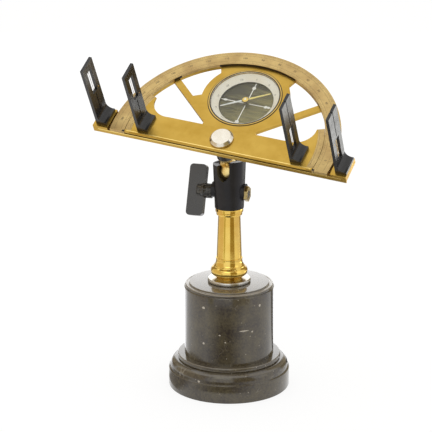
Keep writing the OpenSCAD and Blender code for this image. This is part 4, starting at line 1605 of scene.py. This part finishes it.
@dataclass
class Sights(SubAssembly):
    """The two fixed and the two moving sights, with hairs and pegs."""

    def build(self) -> None:
        """Dress the sights."""
        p = self.palette
        for kind, body in (("fixed", Body.HEAD), ("moving", Body.ALIDADE)):
            for side in ("left", "right"):
                self.softened(f"{kind}_sight_{side}", p.black, body, "black", width=0.3, edge=p.worn)
            self.softened(f"{kind}_hair_pegs", p.golden, body, "brass", width=0.25)
            self.paint(f"{kind}_sight_hairs", p.steel)


@dataclass
class Compass(SubAssembly):
    """Compass box with its ring, dial, needle and glass."""

    centre_y: float = 50.5
    seat_r: float = 30.0
    rim_z: float = 37.75
    floor_z: float = 29.65
    dial_top: float = 29.85
    dial_r: float = 23.65
    ring_r: float = 29.45
    ring_high: float = 35.75
    ring_low: float = 31.4
    needle_low: float = 34.4
    needle_angle: float = 32.0
    needle_len: float = 22.45
    needle_tall: float = 0.5
    needle_wide: float = 0.95
    needle_hub: Point2 = (1.62, 2.3)
    needle_root: float = 1.7
    needle_facets: int = 32
    post_r: float = 1.02
    tick_r: float = 28.9
    number_r: float = 25.6
    number_h: float = 1.9

    def place(self) -> Matrix:
        """Give the matrix from the compass's middle into the part's frame."""
        return HEAD.matrix() @ Matrix.Translation((0, self.centre_y, 0))

    def build(self) -> None:
        """Make the compass."""
        p = self.palette
        self.softened("compass_box", p.hub, Body.HEAD, "brass", width=0.2)
        self.softened("compass_bezel", p.nickel, Body.HEAD, "brass", width=0.15)
        self.paint("compass_glass", p.glass)
        self.paint("needle_post", p.steel)
        self.groove()
        self.ring()
        self.dial()
        self.ring_divisions()
        self.cross()
        self.needle()
        self.softened("needle_cap", p.golden, Body.NEEDLE, "brass", width=0.1)
        self.button()

    def groove(self) -> None:
        """Lay the dark line of painted shade inside the box's rim, the pale rim, and the dark line of painted
        shade round it.
        """
        p, seat, rim = self.palette, self.seat_r, self.rim_z
        # The groove and the outer line are painted shade: dark rings where shade falls beside the rim.
        for name, finish, inner, outer, low, high in (
            ("compass_groove", p.shadow, seat - 0.45, seat + 0.65, rim - 0.1, rim + 0.015),
            ("compass_rim", p.rim, seat + 0.65, seat + 1.5, rim - 0.6, rim + 0.02),
            ("compass_line", p.shadow, seat + 1.5, seat + 2.3, rim - 0.6, rim - 0.47),
        ):
            outline: list[Corner] = [
                (inner, low, 0), (outer, low, 0), (outer, high, 0.05), (inner, high, 0.05), (inner, low, 0),
            ]
            self.lathe(name, outline, self.place(), finish, Body.HEAD, "brass")

    def ring(self) -> None:
        """Turn the silvered ring that slopes down to the dial."""
        inner = self.dial_r + 0.05
        outline: list[Corner] = [
            (inner, self.floor_z, 0), (self.ring_r, self.floor_z, 0), (self.ring_r, self.ring_high, 0),
            (self.ring_r - 0.2, self.ring_high, 0.1), (inner, self.ring_low, 0.1), (inner, self.floor_z, 0),
        ]
        self.lathe("chapter_ring_turned", outline, self.place(), self.palette.silvered, Body.HEAD, "silver",
                   "chapter_ring")

    def dial(self) -> None:
        """Turn the dial with its upturned edge."""
        edge, hole, wall = self.ring_low - 0.15, self.post_r, self.dial_r - 0.12
        outline: list[Corner] = [
            (hole, self.floor_z, 0), (self.dial_r, self.floor_z, 0), (self.dial_r, edge, 0), (wall, edge, 0),
            (wall, self.dial_top, 0), (hole, self.dial_top, 0), (hole, self.floor_z, 0),
        ]
        self.lathe("compass_dial_turned", outline, self.place(), self.palette.dial, Body.HEAD, "dial",
                   "compass_dial")

    def on_slope(self, piece: bpy.types.Object) -> None:
        """Lift flat marks about the compass's middle onto the ring's slope, then set them in place.

        Args:
            piece: The marks, in millimetres, as if the ring were flat at its inner edge.
        """
        rise = (self.ring_high - self.ring_low) / (self.ring_r - self.dial_r)
        for vert in piece.data.vertices:
            vert.co.z += (math.hypot(vert.co.x, vert.co.y) - self.dial_r) * rise
        piece.data.transform(self.place())
        self.dress(piece, self.palette.ring_ink, Body.HEAD, "silver")

    def ring_divisions(self) -> None:
        """Divide the chapter ring and number it."""
        flat, ink = Matrix.Identity(4), self.palette.ring_ink
        ticks = Row(count=180, first=0.0, step=2.0, start=self.tick_r, inward=-1.0, lengths=(0.8, 1.2, 1.6),
                    width=0.1, height=self.ring_low)
        self.on_slope(self.divisions.lay("chapter_divisions", ticks, ink, flat))
        words = numbered(range(0, 360, 30), 90.0, -1.0, self.number_r, self.ring_low + 0.02)
        self.on_slope(lettered("chapter_numbers", words, self.number_h, flat))

    def cross(self) -> None:
        """Lay the white cross with its end marks on the dial."""
        bm = bmesh.new()
        z = self.dial_top + 0.05
        arm_start, arm_len, arm_w, arm_t, spot_t = 2.6, 20.8, 0.8, 0.1, 0.16
        marks = {90: ((18.0, 1.7, 1.7),), 270: ((21.4, 1.8, 1.8),), 0: ((18.0, 1.5, 1.5), (20.6, 1.2, 1.2)),
                 180: ((19.4, 2.0, 1.1),)}
        for angle, spots in marks.items():
            turn = turn_about("Z", angle)
            middle = Matrix.Translation((arm_start + arm_len / 2, 0, z))
            arm = turn @ (middle @ Matrix.Diagonal((arm_len, arm_w, arm_t, 1)))
            bmesh.ops.create_cube(bm, size=1.0, matrix=arm)
            for away, long, wide in spots:
                spot = turn @ Matrix.Translation((away, 0, z)) @ Matrix.Diagonal((long, wide, 1, 1))
                bmesh.ops.create_cone(bm, cap_ends=True, segments=24, radius1=1.0, radius2=1.0, depth=spot_t,
                                      matrix=spot)
        self.dress(from_bmesh("dial_cross", bm, self.place()), self.palette.white, Body.HEAD, "dial")

    def button(self) -> None:
        """Turn the bright crown on the needle's cap, a painted highlight, and the dark seat under its flange,
        painted shade.
        """
        p, roof, low = self.palette, self.needle_low + 1.2, self.needle_low + 0.3
        high = low + 0.25
        # Painted highlight: a bright nickel crown on the cap; painted shade: a dark ring under its flange.
        crown = [(0, roof - 0.1, 0), (1.1, roof - 0.1, 0), (0.9, roof + 0.1, 0.1), (0, roof + 0.12, 0)]
        seat = [(2.0, low, 0), (3.3, low, 0), (3.2, high, 0.05), (2.0, high, 0), (2.0, low, 0)]
        for name, outline, finish in (("cap_crown", crown, p.nickel), ("cap_seat", seat, p.ink)):
            self.lathe(name, outline, self.place(), finish, Body.NEEDLE, "brass", segments=48)

    def needle(self) -> None:
        """Shape the needle: a slender pale half and a gilt half about a round middle."""
        bm = bmesh.new()
        tall, wide, count = self.needle_tall, self.needle_wide, self.needle_facets
        for half, way in enumerate((1, -1)):
            tip, start = way * self.needle_len, way * self.needle_root
            outline = [
                (start, -wide), (tip * 0.93, -wide * 0.6), (tip, 0.0), (tip * 0.93, wide * 0.6),
                (start, wide),
            ]
            low = [bm.verts.new((x, y, self.needle_low)) for x, y in outline]
            high = [bm.verts.new((x, y * 0.7, self.needle_low + tall)) for x, y in outline]
            faces = bridged(bm, low, high) + [bm.faces.new(low), bm.faces.new(high)]
            for face in faces:
                face.material_index = half
        inner, outer = self.needle_hub
        rings = [[bm.verts.new((*polar(r, i * 360 / count), self.needle_low + z)) for i in range(count)]
                 for r, z in ((outer, 0.0), (outer, tall), (inner, tall), (inner, 0.0))]
        for one, two in zip(rings, rings[1:] + rings[:1]):
            bridged(bm, one, two)
        turn = turn_about("Z", self.needle_angle)
        piece = from_bmesh("needle_two_tone", bm, self.place() @ turn)
        for finish in (self.palette.pale_gold, self.palette.pale_steel):
            piece.data.materials.append(finish.material())
        self.dress(piece, self.palette.pale_gold, Body.NEEDLE, "steel", "compass_needle")


def bridged(bm: bmesh.types.BMesh, one: Sequence[bmesh.types.BMVert],
            two: Sequence[bmesh.types.BMVert]) -> list[bmesh.types.BMFace]:
    """Close the wall between two rings of as many points.

    Args:
        bm: The shape.
        one: The first ring.
        two: The second ring.

    Returns:
        The wall's faces.
    """
    count = len(one)
    return [bm.faces.new((one[i], one[(i + 1) % count], two[(i + 1) % count], two[i])) for i in range(count)]


@dataclass
class Fasteners(SubAssembly):
    """Slotted screws under the frame."""

    screws: ScrewTree = field(default_factory=ScrewTree)
    frame_z: float = 34.45
    hub_flange_z: float = 32.05
    lug_z: float = 32.85
    compass_y: float = Compass.centre_y
    limb_ring: float = 91.8
    limb_ends: Point2 = (93.3, 7.2)
    sight_feet: Point2 = (-112.9, 105.5)
    foot_hole: Corner = (6.67, -1.8, 5.2)
    hub_ring: float = 9.8
    lug_ring: float = 34.9
    slot_size: Corner = (6.0, 0.5, 1.1)

    def build(self) -> None:
        """Set all screws."""
        end_x, end_y = self.limb_ends
        limb = [polar(self.limb_ring, a) for a in (40, 140, 73.55, 106.45)]
        limb += [(x, y) for x in (-end_x, end_x) for y in (-end_y, end_y)]
        along, middle, apart = self.foot_hole
        feet = [(x + along, middle + y) for x in self.sight_feet for y in (-apart, apart)]
        hub = [polar(self.hub_ring, a) for a in (45, 135, 225, 315)]
        lugs = [(x, self.compass_y + y) for x, y in (polar(self.lug_ring, a) for a in (90, 215, 325))]
        flush = [(2.0, 0.0, 0.1), (1.1, 1.0, 0.0)]
        raised = [(1.7, 0.0, 0.35), (1.7, 1.1, 0.1), (1.1, 1.1, 0.0)]
        small = [(1.6, 0.0, 0.3), (1.6, 1.0, 0.1), (0.9, 1.0, 0.0)]
        for node, places, height, head, length, seed in (
            ("limb_screws", limb, self.frame_z, flush, 4.5, 3),
            ("fixed_sight_screws", feet, self.frame_z, flush, 7.2, 5),
            ("hub_screws", hub, self.hub_flange_z - 1.1, raised, 5.2, 7),
            ("compass_screws", lugs, self.lug_z - 1.0, small, 4.3, 9),
        ):
            outline = head + [(head[-1][0], length, 0.0), (0.0, length, 0.0)]
            self.set(node, places, height, outline, seed)
        self.paint("moving_sight_screws", self.palette.golden)

    def master(self, name: str, outline: Sequence[Corner]) -> bpy.types.Object:
        """Turn one screw and cut its slot.

        Args:
            name: The screw's name.
            outline: Its outline without the axis point of the head.

        Returns:
            The screw, head down, in millimetres.
        """
        screw = turned(name, rounded([(0.0, 0.0, 0.0), *outline], 3), Matrix.Identity(4), 32)
        bm = bmesh.new()
        bmesh.ops.create_cube(bm, size=1.0, matrix=Matrix.Diagonal((*self.slot_size, 1.0)))
        cutter = from_bmesh(f"{name}_slot", bm, Matrix.Identity(4))
        cut = screw.modifiers.new("slot", "BOOLEAN")
        cut.object = cutter
        cut.operation = "DIFFERENCE"
        cut.solver = "EXACT"
        evaluated(screw)
        bpy.data.objects.remove(cutter)
        smooth(screw.data)
        return screw

    def set(self, node: str, places: Sequence[Point2], height: float, outline: Sequence[Corner],
            seed: int) -> None:
        """Replace a group of screws.

        Args:
            node: The group's node.
            places: Where the screws stand on the head.
            height: Height of the heads' undersides.
            outline: Outline of one screw.
            seed: Seed of the slots' turns.
        """
        screw = self.master(f"{node}_master", outline)
        points = bpy.data.meshes.new(f"{node}_places")
        points.from_pydata([(x, y, height) for x, y in places], [], [])
        finish = self.palette.golden
        values = {"Screw": screw, "Seed": seed, "Finish": finish.material()}
        piece = self.screws.run(f"{node}_slotted", values, points)
        bpy.data.objects.remove(screw)
        piece.data.transform(HEAD.matrix())
        self.dress(piece, finish, Body.HEAD, "brass", node)


@dataclass(frozen=True)
class Card:
    """A card about the object; angles run from the camera's direction to the right, lengths are in metres."""

    name: str
    start: float
    end: float
    near: Point2
    far: Point2
    shade: Colour
    soft: float


@dataclass
class Studio:
    """Pale floor, soft lights, dark and bright cards that metal and stone reflect, and the camera."""

    camera_at: Corner = (0.4377, -1.4801, 0.6066)
    aim: Corner = (-0.0109, -0.0033, 0.1515)
    lens: float = 156.8
    facing: float = -73.1
    white: Colour = (1.0, 1.0, 1.0)
    soft: Colour = (1.0, 0.99, 0.97)
    soft_light: float = 0.8
    floor_tones: tuple[Colour, Colour] = ((0.80, 0.80, 0.79), (0.83, 0.83, 0.82))
    floor_glow: float = 1.1
    glow_share: float = 0.78
    card_steps: int = 24

    def build(self) -> None:
        """Make the studio."""
        self.world()
        self.floor()
        self.lamps()
        self.cards()
        self.camera()

    def world(self) -> None:
        """Light softly from all round, and show white behind the object."""
        world = bpy.data.worlds.new("studio")
        sheet = cleared(world)
        white = sheet.add("ShaderNodeBackground", Color=rgba(self.white), Strength=1.0)
        soft = sheet.add("ShaderNodeBackground", Color=rgba(self.soft), Strength=self.soft_light)
        mixed = sheet.add("ShaderNodeMixShader", in0=sheet.seen(), in1=soft, in2=white)
        sheet.add("ShaderNodeOutputWorld", Surface=mixed)
        bpy.context.scene.world = world

    def floor(self) -> None:
        """Lay a wide pale floor that keeps the object's shadow."""
        bm = bmesh.new()
        bmesh.ops.create_grid(bm, x_segments=2, y_segments=2, size=4.0)
        floor = from_bmesh("floor", bm, Matrix.Identity(4))
        material = bpy.data.materials.new("pale_floor")
        sheet = cleared(material)
        tone = sheet.blend(sheet.noise(sheet.object_place(), 3.0, 2.0), *self.floor_tones)
        matt = sheet.add("ShaderNodeBsdfDiffuse", Color=tone)
        glow = sheet.add("ShaderNodeEmission", Strength=self.floor_glow)
        share = sheet.math("MULTIPLY", sheet.seen(), self.glow_share)
        mixed = sheet.add("ShaderNodeMixShader", in0=share, in1=matt, in2=glow)
        sheet.add("ShaderNodeOutputMaterial", Surface=mixed)
        floor.data.materials.append(material)

    def lamps(self) -> None:
        """Hang a soft box overhead, one at each side and one behind."""
        for name, place, aim, size, power in (
            ("overhead", (-0.55, 0.10, 1.35), (0, 0, 0.2), (1.0, 1.0), 0.7),
            ("left", (-1.3, -0.9, 0.9), (0, 0, 0.15), (0.8, 0.8), 0.5),
            ("right", (1.3, -0.2, 0.8), (0, 0, 0.15), (0.8, 0.8), 0.6),
            ("behind", (-0.42, 1.43, 0.5), (0, 0, 0.1), (1.7, 0.7), 4.2),
        ):
            lamp = bpy.data.lights.new(name, "AREA")
            lamp.shape = "RECTANGLE"
            lamp.size, lamp.size_y = size
            lamp.energy = power
            aimed(name, lamp, place, aim).visible_camera = False

    def cards(self) -> None:
        """Set the cards that turned metal and polished stone reflect."""
        floor = 0.0008
        for card in (
            Card("stone_front", -54.0, 36.0, (0.075, floor), (0.325, floor), (0.02, 0.02, 0.02), 34.0),
            Card("brown_floor", 5.0, 52.0, (0.325, floor), (0.9, floor), (0.36, 0.28, 0.11), 5.0),
            Card("brown_screen", 5.0, 52.0, (1.3, 0.0), (1.3, 1.6), (0.34, 0.26, 0.1), 5.0),
            Card("gold_left", -125.0, -54.0, (0.325, floor), (0.9, floor), (0.77, 0.66, 0.58), 6.0),
            Card("brown_left", -55.0, -37.0, (0.325, floor), (0.9, floor), (0.56, 0.5, 0.23), 4.0),
            Card("pale_right", 52.0, 118.0, (0.325, floor), (0.6, floor), (0.84, 0.83, 0.95), 6.0),
            Card("edge_right", 118.0, 178.0, (0.325, floor), (0.6, floor), (0.4, 0.36, 0.3), 5.0),
            Card("edge_left", -178.0, -125.0, (0.325, floor), (0.9, floor), (0.4, 0.36, 0.3), 5.0),
            Card("bright_back", 104.0, 134.0, (0.62, floor), (1.15, floor), (3.4, 3.4, 3.3), 3.0),
            Card("dark_back", 134.0, 172.0, (0.62, floor), (1.2, floor), (0.03, 0.03, 0.04), 3.0),
            Card("screen_left", -125.0, -45.0, (1.3, 0.0), (1.3, 1.6), (0.72, 0.6, 0.44), 6.0),
            Card("screen_right", 118.0, 160.0, (1.35, 0.0), (1.35, 1.6), (0.4, 0.33, 0.2), 6.0),
            Card("screen_far_left", -160.0, -125.0, (1.35, 0.0), (1.35, 1.6), (0.34, 0.27, 0.17), 6.0),
            Card("rim_left", -179.0, -126.0, (0.05, floor), (0.325, floor), (1.7, 1.7, 1.75), 14.0),
            Card("rim_right", 146.0, 179.0, (0.05, floor), (0.325, floor), (1.8, 1.8, 1.85), 5.0),
            Card("rim_dark", 126.0, 146.0, (0.05, floor), (0.325, floor), (0.05, 0.05, 0.05), 5.0),
            Card("plinth_left", -115.0, -54.0, (0.056, floor), (0.12, floor), (0.3, 0.28, 0.25), 14.0),
            Card("window", -40.0, 8.0, (0.95, 0.75), (0.55, 1.15), (1.8, 1.8, 1.7), 8.0),
        ):
            self.card(card)

    def card(self, card: Card) -> None:
        """Set one card: part of a ring about the object, seen in reflections only.

        Args:
            card: Its place, size and shade.
        """
        bm = bmesh.new()
        middle = math.radians(self.facing + (card.start + card.end) / 2)
        half = math.radians((card.end - card.start) / 2)
        steps = self.card_steps
        turns = [middle - half + 2 * half * i / steps for i in range(steps + 1)]
        rows = [[bm.verts.new((r * math.cos(a), r * math.sin(a), z)) for a in turns]
                for r, z in (card.near, card.far)]
        for i in range(steps):
            bm.faces.new((rows[0][i], rows[1][i], rows[1][i + 1], rows[0][i + 1]))
        piece = from_bmesh(card.name, bm, Matrix.Identity(4))
        material = bpy.data.materials.new(card.name)
        sheet = cleared(material)
        mapping = sheet.add("ShaderNodeMapping", Vector=sheet.object_place(), Rotation=(0, 0, -middle))
        x, y, _ = sheet.split(mapping)
        away = sheet.math("ABSOLUTE", sheet.math("ARCTAN2", y, x))
        edge = sheet.ramp(away, half - math.radians(card.soft), half, 0.0, 1.0)
        glow = sheet.add("ShaderNodeEmission", Color=sheet.blend(edge, card.shade, self.white), Strength=1.0)
        sheet.add("ShaderNodeOutputMaterial", Surface=glow)
        piece.data.materials.append(material)
        for rays in ("camera", "diffuse", "shadow", "transmission"):
            setattr(piece, f"visible_{rays}", False)

    def camera(self) -> None:
        """Stand the camera where the photograph was taken."""
        data = bpy.data.cameras.new("camera")
        data.sensor_fit = "HORIZONTAL"
        data.sensor_width = 36.0
        data.lens = self.lens
        data.clip_end = 20.0
        bpy.context.scene.camera = aimed("camera", data, self.camera_at, self.aim)


def main() -> None:
    """Build the instrument's looks round the loaded frame."""
    logging.basicConfig(level=logging.INFO, format="%(name)s: %(message)s")
    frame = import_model()
    bpy.context.scene.view_settings.view_transform = "Standard"
    Studio().build()
    shared = (frame, Palette(), DivisionTree())
    for part in (Foot, Column, BallJoint, Plates, Sights, Compass, Fasteners):
        part(*shared).build()


if __name__ == "__main__":
    main()
